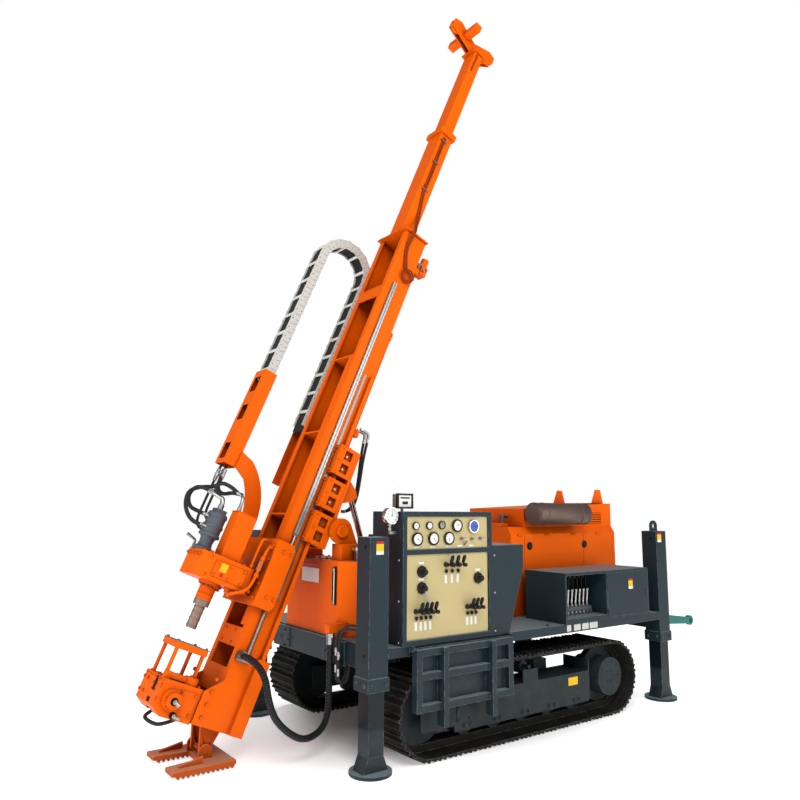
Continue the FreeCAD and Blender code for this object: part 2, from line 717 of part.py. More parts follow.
def tilt_ear():
    """Rounded ear with its pin and boss."""
    plate = prism("side", (
        ("block_rear + 15", BLOCK_TOP), ("block_front", BLOCK_TOP),
        ("pivot_x + ear_radius * 0.9", "pivot_z + ear_radius * 0.43"),
        ("pivot_x - ear_radius * 0.9", "pivot_z + ear_radius * 0.43"),
    ), EAR_IN, EAR_IN + " + ear_plate")
    crown = rod("y", "ear_radius", EAR_IN, EAR_IN + " + ear_plate", "pivot_x", "pivot_z")
    boss = rod("y", "boss_radius", EAR_IN + " + ear_plate", EAR_IN + " + ear_plate + 20",
               "pivot_x", "pivot_z")
    pin = rod("y", "pin_radius", EAR_IN + " - lug_thick - run_gap", EAR_IN, "pivot_x", "pivot_z")
    return fuse([plate, crown, boss, pin])


node("tilt_ears", group(pair(tilt_ear())))
node("filler_cap", fuse([
    rod("z", "46", "tank_top", "tank_top + 70", "block_rear + 60", "tank_half - 85"),
    rod("z", "54", "tank_top + 70", "tank_top + 92", "block_rear + 60", "tank_half - 85"),
]))


# Control console

def console():
    """Box with two recessed panels and a slanted side cabinet."""
    body = box("console_rear", "console_front", "console_back", "console_face", "deck_top",
               "console_top")
    wing = prism("side", (
        ("console_rear", "deck_top"), ("console_rear", "wing_top"), ("wing_rear", "wing_top"),
        ("wing_rear", "wing_bend"), ("wing_foot", "deck_top"),
    ), "console_back + 40", "console_face")
    holes = []
    for low, high in (("console_split", "console_top - console_rim"),
                      ("deck_top + console_rim", "console_split - console_rim")):
        holes.append(box("console_rear + console_rim", "console_front - console_rim",
                         "console_face - console_recess", "console_face + 1", low, high))
    return cut(fuse([body, wing]), holes)


def console_panels():
    """Panel sheets at the bottom of the two recesses."""
    sheets = []
    back = "console_face - console_recess"
    for low, high in (("console_split", "console_top - console_rim"),
                      ("deck_top + console_rim", "console_split - console_rim")):
        sheets.append(box("console_rear + console_rim", "console_front - console_rim",
                          back, back + " + 4", low, high))
    return group(sheets)


node("console", console())
node("console_panels", console_panels())


LEVER_BANKS = (
    # first lever, last lever, how many, height
    (719, 828, 3, 1270),
    (968, 1090, 4, 974),
    (554, 632, 3, 974),
)
KNOBS = ((1043, 1231), (1043, 1124), (529, 1166))
DIALS = (
    # fore and aft, height, radius, depth in front of the panel
    (1097, 1536, 26, 14), (980, 1537, 26, 14), (865, 1540, 28, 10), (728, 1535, 43, 16),
    (574, 1529, 46, 18), (1085, 1448, 43, 16), (944, 1449, 43, 16), (804, 1449, 43, 16),
    (685, 1444, 9, 22), (586, 1441, 9, 22), (505, 1443, 9, 22),
)


def console_controls():
    """Levers and turning knobs on the lower panel, and the travel levers in the valve box."""
    levers = []
    back = "console_face - console_recess + 4"
    for near, far, count, high in LEVER_BANKS:
        for index in range(count):
            at = "%.1f" % (near + (far - near) * index / (count - 1))
            levers.append(fuse([
                rod("y", "lever_radius + 8", back, back + " + 8", at, str(high)),
                rod("y", "lever_radius", back + " + 8", back + " + lever_long", at, str(high)),
                rod("y", "knob_radius", back + " + lever_long", back + " + lever_long + 24",
                    at, str(high)),
            ]))
    for at, high in KNOBS:
        levers.append(fuse([
            rod("y", "36", back, back + " + 18", str(at), str(high)),
            rod("y", "17", back + " + 18", back + " + 52", str(at), str(high)),
        ]))
    roof = "deck_top + box_tall - 24"
    for index in range(int(size("travel_levers"))):
        at = "box_split + 60 + (box_front - box_split - 132) / (travel_levers - 1) * %d" % index
        levers.append(fuse([
            box(at + " - 14", at + " + 14", "console_face - 190", "console_face - 150",
                roof + " - 40", roof),
            rod("z", "lever_radius", roof + " - 150", roof + " - 40", at, "console_face - 170"),
            rod("z", "lever_radius + 4", roof + " - 175", roof + " - 150", at,
                "console_face - 170"),
        ]))
    return group(levers)


def gauges():
    """Round gauges on the upper panel, and the gauge and the square indicator in front."""
    back = "console_face - console_recess + 4"
    dials = [rod("y", str(radius), back, back + " + %d" % deep, str(at), str(high))
             for at, high, radius, deep in DIALS]
    pipe = fuse([
        rod("z", "9", "1490", "1560", "1268", "850"),
        box("console_front", "1277", "841", "859", "1482", "1500"),
        rod("y", "55", "838", "872", "1268", "1604"),
    ])
    indicator = fuse([
        rod("z", "10", "console_top", "console_top + 23", "console_front - 65", "815"),
        box("console_front - 131", "console_front - 6", "785", "845", "console_top + 23",
            "console_top + 118"),
    ])
    return group(dials + [pipe, indicator])


node("control_levers", console_controls())
node("gauges", gauges())


# Valve box

def valve_box():
    """Box with an open half for the travel levers."""
    top = "deck_top + box_tall"
    body = box("box_rear", "box_front", "box_back", "console_face", "deck_top", top)
    hollow = box("box_split", "box_front - 12", "box_back + 60", "console_face + 1",
                 "deck_top + 40", top + " - 24")
    return cut(body, [hollow])


node("valve_box", valve_box())


# Engine hood

def hood_block(inset):
    """Lower hood with its slanted shoulder, drawn in by an inset."""
    half = "(hood_half - %s)" % inset
    top = "hood_top + shoulder_rise - %s" % inset
    return prism("front", (
        ("-" + half, "deck_top"), (half, "deck_top"), (half, "hood_top - %s / 2" % inset),
        (half + " - shoulder", top), ("shoulder - " + half, top),
        ("-" + half, "hood_top - %s / 2" % inset),
    ), "hood_rear + " + inset, "hood_front - " + inset)


def cowl_block(inset, base):
    """Raised cowl, drawn in by an inset."""
    return prism("side", (
        ("hood_rear + " + inset, base), ("cowl_front - " + inset, base),
        ("cowl_front - " + inset, "cowl_low - " + inset),
        ("hood_rear + " + inset, "cowl_high - " + inset),
    ), "shoulder - hood_half + " + inset, "hood_half - shoulder - " + inset)


def hood_cuts():
    """Door seams on both sides and the notch at the lower front corner."""
    cuts = []
    half = "hood_half"
    for at, low in (("-509", "980"), ("-1293", "930"), ("-1723", "910")):
        seam = box(at + " - seam / 2", at + " + seam / 2", half + " - seam", half + " + 1", low,
                   "hood_top - 14")
        cuts += pair(seam)
    sill = box("-1723", "-509", half + " - seam", half + " + 1", "960 - seam", "960")
    notch = prism("side", (
        ("-664", "deck_top - 1"), ("-551", "deck_top - 1"), ("-551", "900"), ("-590", "930"),
        ("-625", "930"), ("-664", "900"),
    ), half + " - skin - 1", half + " + 1")
    return cuts + pair(sill) + pair(notch)


def cowl_grille(side):
    """Opening in the cowl's side with its slats."""
    wall = "hood_half - shoulder"
    window = box("grille_rear", "grille_front", wall + " - skin - 1", wall + " + 1", "grille_foot",
                 "grille_top")
    slats = []
    for index in range(int(size("slat_count"))):
        at = "grille_foot + (grille_top - grille_foot) / slat_count * %.1f" % (index + 0.5)
        slats.append(prism("front", (
            (wall + " - skin + 0.5", at + " + 7"), (wall + " - skin + 2", at + " + 8"),
            (wall + " - 1", at + " - 6"), (wall + " - 2.5", at + " - 7"),
        ), "grille_rear - 1", "grille_front + 1"))
    if side < 0:
        return mirror(window), [mirror(slat) for slat in slats]
    return window, slats


shoulder_top = "hood_top + shoulder_rise"
under_cowl = box("hood_rear + skin", "cowl_front - skin", "shoulder - hood_half + skin",
                 "hood_half - shoulder - skin", "hood_top", shoulder_top + " + 1")
node("hood", cut(hood_block("0"), [hood_block("skin"), under_cowl] + hood_cuts()))
near_window, near_slats = cowl_grille(1)
far_window, far_slats = cowl_grille(-1)
cowl_shell = cut(cowl_block("0", shoulder_top),
                 [cowl_block("skin", shoulder_top + " - 1"), near_window, far_window])
node("cowl", fuse([cowl_shell] + near_slats + far_slats))
node("engine", box("engine_rear", "engine_front", "-engine_half", "engine_half", "deck_top",
                   "engine_top"))


def mast_rest():
    """Saddle with two prongs for the folded mast."""
    near, far = "rest_x - rest_wide / 2", "rest_x + rest_wide / 2"
    saddle = box(near, far, "-rest_side - 14", "rest_side + 14", "cowl_high", "rest_base")
    prong = prism("side", (
        (near, "rest_base"), (far, "rest_base"), ("rest_x + 25", "rest_top"),
        ("rest_x - 45", "rest_top"),
    ), "rest_side", "rest_side + 14")
    return fuse([saddle] + pair(prong))


node("mast_rest", mast_rest())
node("muffler", fuse([
    rod("x", "muffler_radius", "muffler_rear", "muffler_front", "muffler_y", "muffler_z"),
    box("muffler_rear + 60", "muffler_rear + 90", "hood_half - shoulder", "muffler_y",
        "muffler_z - 60", "muffler_z + 20"),
    box("muffler_front - 90", "muffler_front - 60", "hood_half - shoulder", "muffler_y",
        "muffler_z - 60", "muffler_z + 20"),
]))


def tow_bar():
    """Tapered bar with an eye, from the rear arm."""
    bar = prism("side", (
        ("jack_rear - jack_tube / 2", "deck_top - 45"), ("tow_reach + 60", "deck_top - 130"),
        ("tow_reach + 60", "deck_top - 190"), ("jack_rear - jack_tube / 2", "deck_top - 145"),
    ), "tow_y - 20", "tow_y + 20")
    eye = rod("y", "45", "tow_y - 20", "tow_y + 20", "tow_reach + 45", "deck_top - 160")
    hole = rod("y", "22", "tow_y - 30", "tow_y + 30", "tow_reach + 45", "deck_top - 160")
    shank = box("jack_rear - jack_tube / 2", "jack_rear - arm_wide / 2", "tow_y - 20",
                "tow_y + 20", "deck_top - 145", "deck_top - deck_plate")
    return cut(fuse([bar, eye, shank]), [hole])


node("tow_bar", tow_bar())


# Folding platform

def platform():
    """Frame of rails with a floor sheet and two long arms."""
    near = STEP_NEAR
    far = near + " + step_deep"
    top = STEP_PIN_Z
    foot = top + " - step_tall"
    pieces = [
        box("step_rear", "step_front", near, far, top + " - step_bar", top),
        box("step_rear", "step_front", near, far, foot, foot + " + step_bar"),
        box("step_rear", "step_front", near, far, foot + " + step_tall / 2",
            foot + " + step_tall / 2 + step_bar"),
        box("step_rear", "step_rear + step_bar", near, far, foot, top),
        box("step_front - step_bar", "step_front", near, far, foot, top),
        box("step_rear", "step_front", near, near + " + 5", foot, top),
    ]
    for share in (0.26, 0.76):
        at = "step_front + (step_rear - step_front) * %.2f" % share
        pieces.append(box(at + " - 20", at + " + 20", near, far + " + 25", foot + " - 110", top))
    pieces.append(rod("x", "step_pin", "step_rear - step_lug - 2", "step_front + step_lug + 2",
                      STEP_PIN_Y, STEP_PIN_Z))
    return fuse(pieces)


node("platform", platform())


# Slide frame, which tilts and carries the sliding mast

def guide_clamps():
    """Three clamps a side, each round a mast rail, with two windows."""
    root = "plate_near + plate_thick"
    blocks = []
    for index in range(3):
        middle = "clamp_first + clamp_pitch * %d" % index
        low, high = middle + " - clamp_long / 2", middle + " + clamp_long / 2"
        inner, outer = "rail_out + run_gap", CLAMP_OUT
        throat = "mast_half + run_gap"
        block = prism("plan", (
            (root, throat), (root, outer), ("rail_back + rail_thick + run_gap + 40", outer),
            ("rail_back + rail_thick + run_gap + 40", throat),
            ("rail_back + rail_thick + run_gap", throat),
            ("rail_back + rail_thick + run_gap", inner), ("rail_back - run_gap", inner),
            ("rail_back - run_gap", throat),
        ), low, high)
        windows = [box("rail_back - 45", "rail_back + 20", inner, outer + " + 1",
                       middle + shift + " - 34", middle + shift + " + 34")
                   for shift in (" - 52", " + 52")]
        blocks += pair(cut(block, windows))
    return group(blocks)


def slide_frame():
    """Base plate, tilt lugs and the cheeks of the tilt cylinders."""
    outer = CLAMP_OUT
    low = "clamp_first - clamp_long / 2"
    high = "clamp_first + 2 * clamp_pitch + clamp_long / 2"
    plate = box("plate_near", "plate_near + plate_thick", "-(" + outer + ")", outer, low, high)
    pieces = [plate]
    lug_in = EAR_IN + " - run_gap - lug_thick"
    lug = fuse([
        rod("y", "lug_radius", lug_in, EAR_IN + " - run_gap", "0", "0"),
        box("0", "plate_near", lug_in, EAR_IN + " - run_gap", "-lug_radius", "lug_radius"),
    ])
    hole = rod("y", "pin_radius + seat_gap", lug_in + " - 1", EAR_IN, "0", "0")
    pieces += pair(cut(lug, [hole]))
    for shift in ("-47", "32"):
        cheek = prism("side", (
            ("plate_near", "lift_eye_u - 110"), ("plate_near", "lift_eye_u + 110"),
            ("lift_eye_w - 10", "lift_eye_u + 45"), ("lift_eye_w - 40", "lift_eye_u"),
            ("lift_eye_w - 10", "lift_eye_u - 45"),
        ), "lift_y + " + shift, "lift_y + %s + 15" % shift)
        pieces += pair(cheek)
    return fuse(pieces)


on_mast("slide_frame", slide_frame())
on_mast("guide_clamps", guide_clamps())
on_mast("slide_cylinder", cut(fuse([
    rod("z", "shift_radius", "shift_foot", "shift_head", "shift_w", "shift_y"),
    box("plate_near + plate_thick", "shift_w", "shift_y - 20", "shift_y + 20", "shift_foot - 60",
        "shift_foot + 20"),
    box("shift_w - shift_radius - 30", "shift_w", "shift_y - 25", "shift_y + 25",
        "shift_foot + 120", "shift_foot + 175"),
    rod("z", "shift_radius + 5", "shift_head - 60", "shift_head", "shift_w", "shift_y"),
]), [rod("z", "shift_rod + seat_gap", "shift_foot + 40", "shift_head + 1", "shift_w", "shift_y")]))


# Tilt cylinders: their pins lie on the frame's side of the pivot

LEAN = math.radians(size("mast_lean"))
EYE_X = (size("pivot_x") - size("lift_eye_u") * math.sin(LEAN)
         + size("lift_eye_w") * math.cos(LEAN))
EYE_Z = (size("pivot_z") + size("lift_eye_u") * math.cos(LEAN)
         + size("lift_eye_w") * math.sin(LEAN))
LIFT_SPAN = math.hypot(EYE_X - size("lift_foot_x"), EYE_Z - size("lift_foot_z"))
LIFT_TURN = math.degrees(math.atan2(EYE_X - size("lift_foot_x"), EYE_Z - size("lift_foot_z")))


def along_lift(label, part):
    """Registers a piece drawn upright on the foot pin and turned towards the eye."""
    part.Placement = Placement(Vector(), Rotation(Vector(0, 1, 0), LIFT_TURN))
    bind(part, "Placement.Base.x", "lift_foot_x")
    bind(part, "Placement.Base.z", "lift_foot_z")
    return node(label, part)


barrel = cut(fuse([
    rod("z", "lift_barrel", "lift_neck", "lift_long", "0", "lift_y"),
    rod("y", "lift_eye", "lift_y - 25", "lift_y + 25", "0", "0"),
    box("-28", "28", "lift_y - 25", "lift_y + 25", "0", "lift_neck"),
]), [rod("z", "lift_rod + seat_gap", "lift_neck + 10", "lift_long + 1", "0", "lift_y"),
     rod("y", "20 + seat_gap", "lift_y - 30", "lift_y + 30", "0", "0")])
along_lift("tilt_barrels", group(pair(barrel)))
piston = fuse([
    rod("z", "lift_rod", "lift_inside", "%.3f" % LIFT_SPAN, "0", "lift_y"),
    rod("y", "32", "lift_y - 26", "lift_y + 26", "0", "%.3f" % LIFT_SPAN),
])
along_lift("tilt_rods", group(pair(piston)))


def lift_clevis():
    """Deck clevis with the foot pin."""
    pieces = [box("lift_foot_x - 60", "lift_foot_x + 60", "lift_y - 60", "lift_y + 60",
                  "deck_top", "deck_top + 15"),
              rod("y", "20", "lift_y - 50", "lift_y + 50", "lift_foot_x", "lift_foot_z")]
    for shift in ("-47", "32"):
        low = "lift_y + " + shift
        pieces.append(box("lift_foot_x - 35", "lift_foot_x + 35", low, low + " + 15",
                          "deck_top + 15", "lift_foot_z"))
        pieces.append(rod("y", "35", low, low + " + 15", "lift_foot_x", "lift_foot_z"))
    return fuse(pieces)


node("tilt_clevises", group(pair(lift_clevis())))


# Mast

def mast_beam():
    """Channel with front flanges, ribs, bands, a slot in its back and foot plates."""
    lip = "mast_half - mast_lip"
    inner = "mast_half - mast_wall"
    front = "mast_front - mast_wall"
    back = "mast_back + mast_wall"
    channel = prism("plan", (
        ("mast_back", "-mast_half"), ("mast_front", "-mast_half"), ("mast_front", "-(%s)" % lip),
        (front, "-(%s)" % lip), (front, "-(%s)" % inner), (back, "-(%s)" % inner),
        (back, inner), (front, inner), (front, lip), ("mast_front", lip),
        ("mast_front", "mast_half"), ("mast_back", "mast_half"),
    ), "mast_foot", "mast_head")
    pieces = [channel]
    for index in range(4):
        low = "rib_first + rib_pitch * %d" % index
        pieces.append(box(back, "mast_front - 2", "-(%s)" % inner, inner, low, low + " + rib_thick"))
    for low, high in (("rib_first + 3 * rib_pitch - 100", "rib_first + 3 * rib_pitch"),
                      ("rib_first - 1255", "rib_first - 1085")):
        pieces.append(box(front, "mast_front", "-(%s)" % lip, lip, low, high))
    skirt = prism("side", (
        (front, "skirt_top"), ("skirt_front", "clamp_top - 5"), ("skirt_front", "mast_foot"),
        (front, "mast_foot"),
    ), inner, "mast_half")
    pieces += pair(skirt)
    pieces.append(box("mast_back", "skirt_front", "-mast_half", "mast_half", "mast_foot",
                      "mast_foot + mast_wall"))
    heel = box("heel_back", "mast_back", "rail_out - 40", "rail_out", "mast_foot",
               "mast_foot + heel_tall")
    pieces += pair(heel)
    pieces.append(box("heel_back", "heel_back + mast_wall", "-rail_out", "rail_out", "mast_foot",
                      "mast_foot + heel_tall"))
    pieces += pair(box("mast_back", "mast_back + 60", "mast_half", "rail_out", "mast_foot",
                       "mast_foot + heel_tall"))
    slot = box("mast_back - 60", back + " + 5", "-22", "22", "mast_foot + 370", "mast_foot + 500")
    return cut(fuse(pieces), [slot])


on_mast("mast_beam", mast_beam())
on_mast("mast_rails", group(pair(
    box("rail_back", "rail_back + rail_thick", "mast_half", "rail_out", "mast_foot + heel_tall",
        "rail_top"))))


def mast_cap():
    """Cap plate, the jib tube on it and the collar at the jib's top."""
    cap = box("mast_back - 8", "mast_front + 28", "-cap_half", "cap_half", "mast_head",
              "mast_head + cap_thick")
    tube = box("jib_back", "jib_front", "-jib_half", "jib_half", "mast_head + cap_thick", "jib_top")
    collar = box("jib_back - 20", "jib_front + 20", "-jib_half - 24", "jib_half + 24",
                 "jib_top", "jib_top + 60")
    bore = box("jib_back + jib_wall", "jib_front - jib_wall", "jib_wall - jib_half",
               "jib_half - jib_wall", "mast_head + cap_thick", "jib_top")
    snug = "jib_wall + run_gap - seat_gap"
    mouth = box("jib_back + " + snug, "jib_front - (%s)" % snug, snug + " - jib_half",
                "jib_half - (%s)" % snug, "jib_top", "jib_top + 61")
    return cut(fuse([cap, tube, collar]), [bore, mouth])


on_mast("mast_jib", mast_cap())
on_mast("slide_rod", fuse([
    rod("z", "shift_rod", "shift_end", "shift_top", "shift_w", "shift_y"),
    box("shift_w - 20", "mast_back", "shift_y - 30", "shift_y + 30", "shift_top - 10",
        "shift_top + 50"),
]))
on_mast("feed_chain", group([
    fuse([
        box("270", "310", "mast_half", "mast_half + 13", "-160", "2060"),
        rod("z", "13", "-1000", "-160", "290", "mast_half + 13.5"),
        box("262", "368", "mast_half", "mast_half + 26", "-1050", "-1000"),
        rod("y", "28", "mast_half", "hose_start - run_gap", "340", "-1014"),
    ]),
    fuse([
        box("mast_back - 90", "mast_back", "-60", "60", "feed_motor", "feed_motor + 140"),
        rod("y", "48", "60", "150", "mast_back - 50", "feed_motor + 70"),
        rod("y", "36", "150", "175", "mast_back - 50", "feed_motor + 70"),
    ]),
]))

# Jib extension and crown

snug = "(jib_wall + run_gap)"
extension = box("jib_back + " + snug, "jib_front - " + snug, snug + " - jib_half",
                "jib_half - " + snug, "tip_foot", "tip_top")
on_mast("jib_extension", group([extension]))


def crown():
    """Cheeks for both sheaves, and a cross box."""
    cheeks = prism("side", (
        ("jib_back - 20", "tip_top"), ("jib_front + 20", "tip_top"),
        ("sheave_front + 60", SHEAVE_U + " - 45"), ("sheave_front + 60", SHEAVE_U + " + 45"),
        ("sheave_front - 20", SHEAVE_U + " + 70"), ("jib_front", SHEAVE_U + " - 20"),
        ("sheave_back + 20", SHEAVE_U + " + 60"), ("sheave_back - 60", SHEAVE_U + " + 40"),
        ("sheave_back - 60", SHEAVE_U + " - 40"),
    ), "sheave_wide / 2 + run_gap", "sheave_wide / 2 + run_gap + 12")
    pieces = pair(cheeks)
    pieces.append(box("jib_back - 20", "jib_front + 20", "-jib_half", "jib_half", "tip_top",
                      "tip_top + 14"))
    pieces.append(box("sheave_front - 160", "sheave_front - 85", "-200", "200", SHEAVE_U + " - 60",
                      SHEAVE_U + " + 10"))
    for at in ("sheave_front", "sheave_back"):
        pieces.append(rod("y", "14", "-sheave_wide / 2 - run_gap - 6",
                          "sheave_wide / 2 + run_gap + 6", at, SHEAVE_U))
    return fuse(pieces)


on_mast("crown", crown())
for word, at in (("front", "sheave_front"), ("back", "sheave_back")):
    wheel = cut(rod("y", "sheave_radius", "-sheave_wide / 2", "sheave_wide / 2", at, SHEAVE_U),
                [rod("y", "14 + seat_gap", "-sheave_wide", "sheave_wide", at, SHEAVE_U)])
    on_mast("sheave_" + word, group([wheel]))


# Rod clamp and its guide frame

def rod_clamp():
    """Clamp box at the mast foot with the bore for the drill string."""
    body = prism("side", (
        ("clamp_back", "clamp_top"), ("clamp_back + 20", "clamp_top"), ("clamp_front", "clamp_top"),
        ("clamp_front", "clamp_base + 40"), ("clamp_front - 60", "clamp_base"),
        ("clamp_back", "clamp_base"),
    ), "-clamp_half", "clamp_half")
    bore = rod("z", "clamp_bore", "clamp_base - 1", "clamp_top + 1", "head_w", "0")
    rams = pair(rod("y", "ram_radius", "clamp_half", "clamp_half + ram_long", "head_w",
                    "(clamp_top + clamp_base) / 2"))
    caps = pair(rod("y", "ram_radius - 12", "clamp_half + ram_long", "clamp_half + ram_long + 18",
                    "head_w", "(clamp_top + clamp_base) / 2"))
    return cut(fuse([body] + rams + caps), [bore])


def rod_guide():
    """Four posts and a ring plate over the clamp."""
    posts = []
    for w in ("head_w - 125", "head_w + 65"):
        posts += pair(box(w, w + " + 18", "92", "120", "clamp_top", "guide_top - 40"))
    ring = cut(box("head_w - 135", "head_w + 95", "-125", "125", "guide_top - 40", "guide_top"),
               [box("head_w - 100", "head_w + 60", "-85", "85", "guide_top - 41", "guide_top + 1")])
    return fuse(posts + [ring])


on_mast("rod_clamp", group([rod_clamp()]))
on_mast("rod_guide", rod_guide())


# Carriage and rotation head

def carriage():
    """Front plate, side plates and the shoes that run on the mast."""
    front = "mast_front + run_gap"
    side = CARRIAGE_SIDE
    pieces = [
        box(front, front + " + 40", "-(%s) - 34" % side, side + " + 22", "carriage_foot",
            "carriage_top"),
    ]
    pieces += pair(prism("side", (
        ("mast_front - shoe_rear", "carriage_foot + 40"), ("mast_front - 90", "carriage_foot"),
        (front + " + 40", "carriage_foot"), (front + " + 40", "carriage_top"),
        ("mast_front - 90", "carriage_top"), ("mast_front - shoe_rear", "carriage_top - 40"),
    ), side, side + " + 22"))
    for low in ("carriage_foot + 20", "carriage_top - 140"):
        pieces += pair(box("mast_front - 46", "mast_front - 2", "mast_half + seat_gap", side,
                           low, low + " + 120"))
    return fuse(pieces)


def gearbox():
    """Rotation gearbox with its side block."""
    back = "mast_front + run_gap + 40"
    body = prism("plan", (
        (back, "-gear_half + 60"), (back + " + 60", "-gear_half"), ("gear_front - 70", "-gear_half"),
        ("gear_front", "-gear_half + 70"), ("gear_front", "gear_half - 70"),
        ("gear_front - 70", "gear_half"), (back + " + 60", "gear_half"), (back, "gear_half - 60"),
    ), "gear_foot", "gear_top")
    block = box("head_w - 75", "head_w + 70", "30", "150", "gear_top", "gear_top + 320")
    collar = rod("z", "sleeve_radius + 24", "gear_foot - 20", "gear_foot", "head_w", "0")
    return cut(fuse([body, block, collar]),
               [rod("z", "shaft_radius", "gear_foot - 21", "gear_top - 60", "head_w", "0")])


on_mast("carriage", carriage())
on_mast("gearbox", gearbox())
on_mast("head_motor", fuse([
    rod("z", "motor_radius", "gear_top + 110", "motor_top", "motor_w", "-40"),
    rod("z", "motor_radius - 20", "gear_top", "gear_top + 110", "motor_w", "-40"),
]))
on_mast("spindle", fuse([
    rod("z", "shaft_radius - seat_gap", "sleeve_foot + 50", "gear_top - 60 - run_gap",
        "head_w", "0"),
    rod("z", "sleeve_radius", "sleeve_foot", "gear_foot - 20 - run_gap", "head_w", "0"),
    rod("z", "sub_radius", "sub_foot", "sleeve_foot", "head_w", "0"),
]))


# Energy chain with its bracket and trough

def chain_band(inset, wide, low_out, low_in):
    """Run of the chain at a distance inside its outline."""
    middle, height, radius = size("chain_w"), size("chain_u"), size("chain_radius")
    reach = size("chain_thick") / 2 - inset
    walls = []
    for r in (radius + reach, radius - reach):
        walls.append((Vector(middle + r, 0, low_out), Vector(middle + r, 0, height),
                      Vector(middle, 0, height + r), Vector(middle - r, 0, height),
                      Vector(middle - r, 0, low_in)))
    a, b = walls
    edges = [Part.LineSegment(a[0], a[1]), Part.Arc(a[1], a[2], a[3]), Part.LineSegment(a[3], a[4]),
             Part.LineSegment(a[4], b[4]), Part.LineSegment(b[4], b[3]), Part.Arc(b[3], b[2], b[1]),
             Part.LineSegment(b[1], b[0]), Part.LineSegment(b[0], a[0])]
    face = Part.Face(Part.Wire([edge.toShape() for edge in edges]))
    band = face.extrude(Vector(0, wide, 0))
    band.translate(Vector(0, size("chain_y") - wide / 2, 0))
    return band


def chain_pockets():
    """Pockets between the chain's bars, on the outside and the inside of the bend."""
    middle, height, radius = size("chain_w"), size("chain_u"), size("chain_radius")
    pitch, thick = size("chain_pitch"), size("chain_thick")
    deep, wide = size("chain_pocket"), size("chain_wide") - 2 * size("chain_link")
    moving = height - size("chain_end")
    bend = math.pi * radius
    total = moving + bend + height - size("chain_foot")
    pockets = []
    for index in range(int(total / pitch)):
        along = (index + 0.5) * pitch
        if along < moving:
            spot, turn = Vector(middle + radius, 0, size("chain_end") + along), 0
        elif along < moving + bend:
            turn = (along - moving) / radius
            spot = Vector(middle + radius * math.cos(turn), 0, height + radius * math.sin(turn))
        else:
            spot, turn = Vector(middle - radius, 0, height - (along - moving - bend)), math.pi
        for side in (-1, 1):
            bottom = thick / 2 - deep if side > 0 else -thick / 2 - 1
            pocket = Part.makeBox(deep + 1, wide, pitch * 0.62,
                                  Vector(bottom, -wide / 2, -pitch * 0.31))
            pocket.rotate(Vector(), Vector(0, 1, 0), -math.degrees(turn))
            pocket.translate(spot + Vector(0, size("chain_y"), 0))
            pockets.append(pocket)
    return pockets


chain = chain_band(0, size("chain_wide"), size("chain_end"), size("chain_foot"))
on_mast("energy_chain", group([shaped(chain.cut(chain_pockets()))]))


def curve(plane_points, start, end):
    """Plate in the mast's side plane, bounded by arcs through three points and lines through two."""
    edges = []
    for run in plane_points:
        spots = [Vector(w, 0, u) for w, u in run]
        edge = Part.Arc(*spots) if len(spots) == 3 else Part.LineSegment(*spots)
        edges.append(edge.toShape())
    plate = Part.Face(Part.Wire(edges)).extrude(Vector(0, end - start, 0))
    plate.translate(Vector(0, start, 0))
    return plate


def bracket_arm(start, end):
    """Curved arm from the carriage's front plate up to the bracket."""
    here = float(sheet.evalExpression(full(start)))
    there = float(sheet.evalExpression(full(end)))
    wall = size("chain_w") + size("chain_radius") - size("chain_thick") / 2 - size("run_gap")
    plate = size("mast_front") + size("run_gap")
    foot, top = size("bracket_foot"), size("carriage_top")
    deep = size("arm_deep_w")
    low = top - size("arm_root")
    seat = plate + 40
    outer = ((seat, top + 5), (seat + 30, (foot + top) / 2 + 90), (wall - 100, foot + 100))
    inner = ((wall - 90, foot - 50), (seat + deep - 35, foot - 210), (seat + deep - 20, low))
    return shaped(curve((
        ((seat, low), outer[0]), outer, (outer[2], (wall + 6, foot + 130)),
        ((wall + 6, foot + 130), (wall + 6, foot)), ((wall + 6, foot), inner[0]),
        inner, (inner[2], (seat, low)),
    ), here, there))


def chain_bracket():
    """Channel that guides the chain's moving end, with windows, on a curved arm."""
    near = "chain_w + chain_radius - chain_thick / 2 - run_gap"
    far = "chain_w + chain_radius + chain_thick / 2 + run_gap"
    left = "chain_y - chain_wide / 2 - seat_gap"
    right = "chain_y + chain_wide / 2 + seat_gap"
    shell = box(near + " - 6", far + " + 6", left + " - 6", right + " + 6", "bracket_foot",
                "bracket_top")
    bore = box(near, far, left, right, "bracket_foot - 1", "bracket_top + 1")
    windows = [box(far, far + " + 7", "chain_y - 52", "chain_y + 52", low, low + " + 130")
               for low in ("bracket_foot + 40", "bracket_foot + 370", "bracket_foot + 620")]
    return fuse([cut(shell, [bore] + windows), bracket_arm(right + " + 6", right + " + 26")])


on_mast("chain_bracket", chain_bracket())


def chain_trough():
    """Channel on the far side of the mast for the chain's fixed run."""
    near = "chain_w - chain_radius - chain_thick / 2 - run_gap"
    left = "chain_y - chain_wide / 2 - seat_gap"
    right = "chain_y + chain_wide / 2 + seat_gap"
    tray = fuse([
        box(near + " - 6", near, left + " - 6", right + " + 6", "trough_foot", "trough_top"),
        box(near + " - 6", near + " + 60", left + " - 6", left, "trough_foot", "trough_top"),
        box(near + " - 6", near + " + 60", right, right + " + 6", "trough_foot", "trough_top"),
    ])
    behind = "(mast_front - shoe_rear - run_gap - 10)"
    pieces = [tray]
    for low in ("trough_foot", "trough_top - 60"):
        pieces.append(box(behind, near, right, right + " + 6", low, low + " + 60"))
        pieces.append(box(behind, behind + " + 10", right, "-mast_half", low, low + " + 60"))
    return fuse(pieces)


on_mast("chain_trough", chain_trough())


# Foot under the mast, drawn on the ground

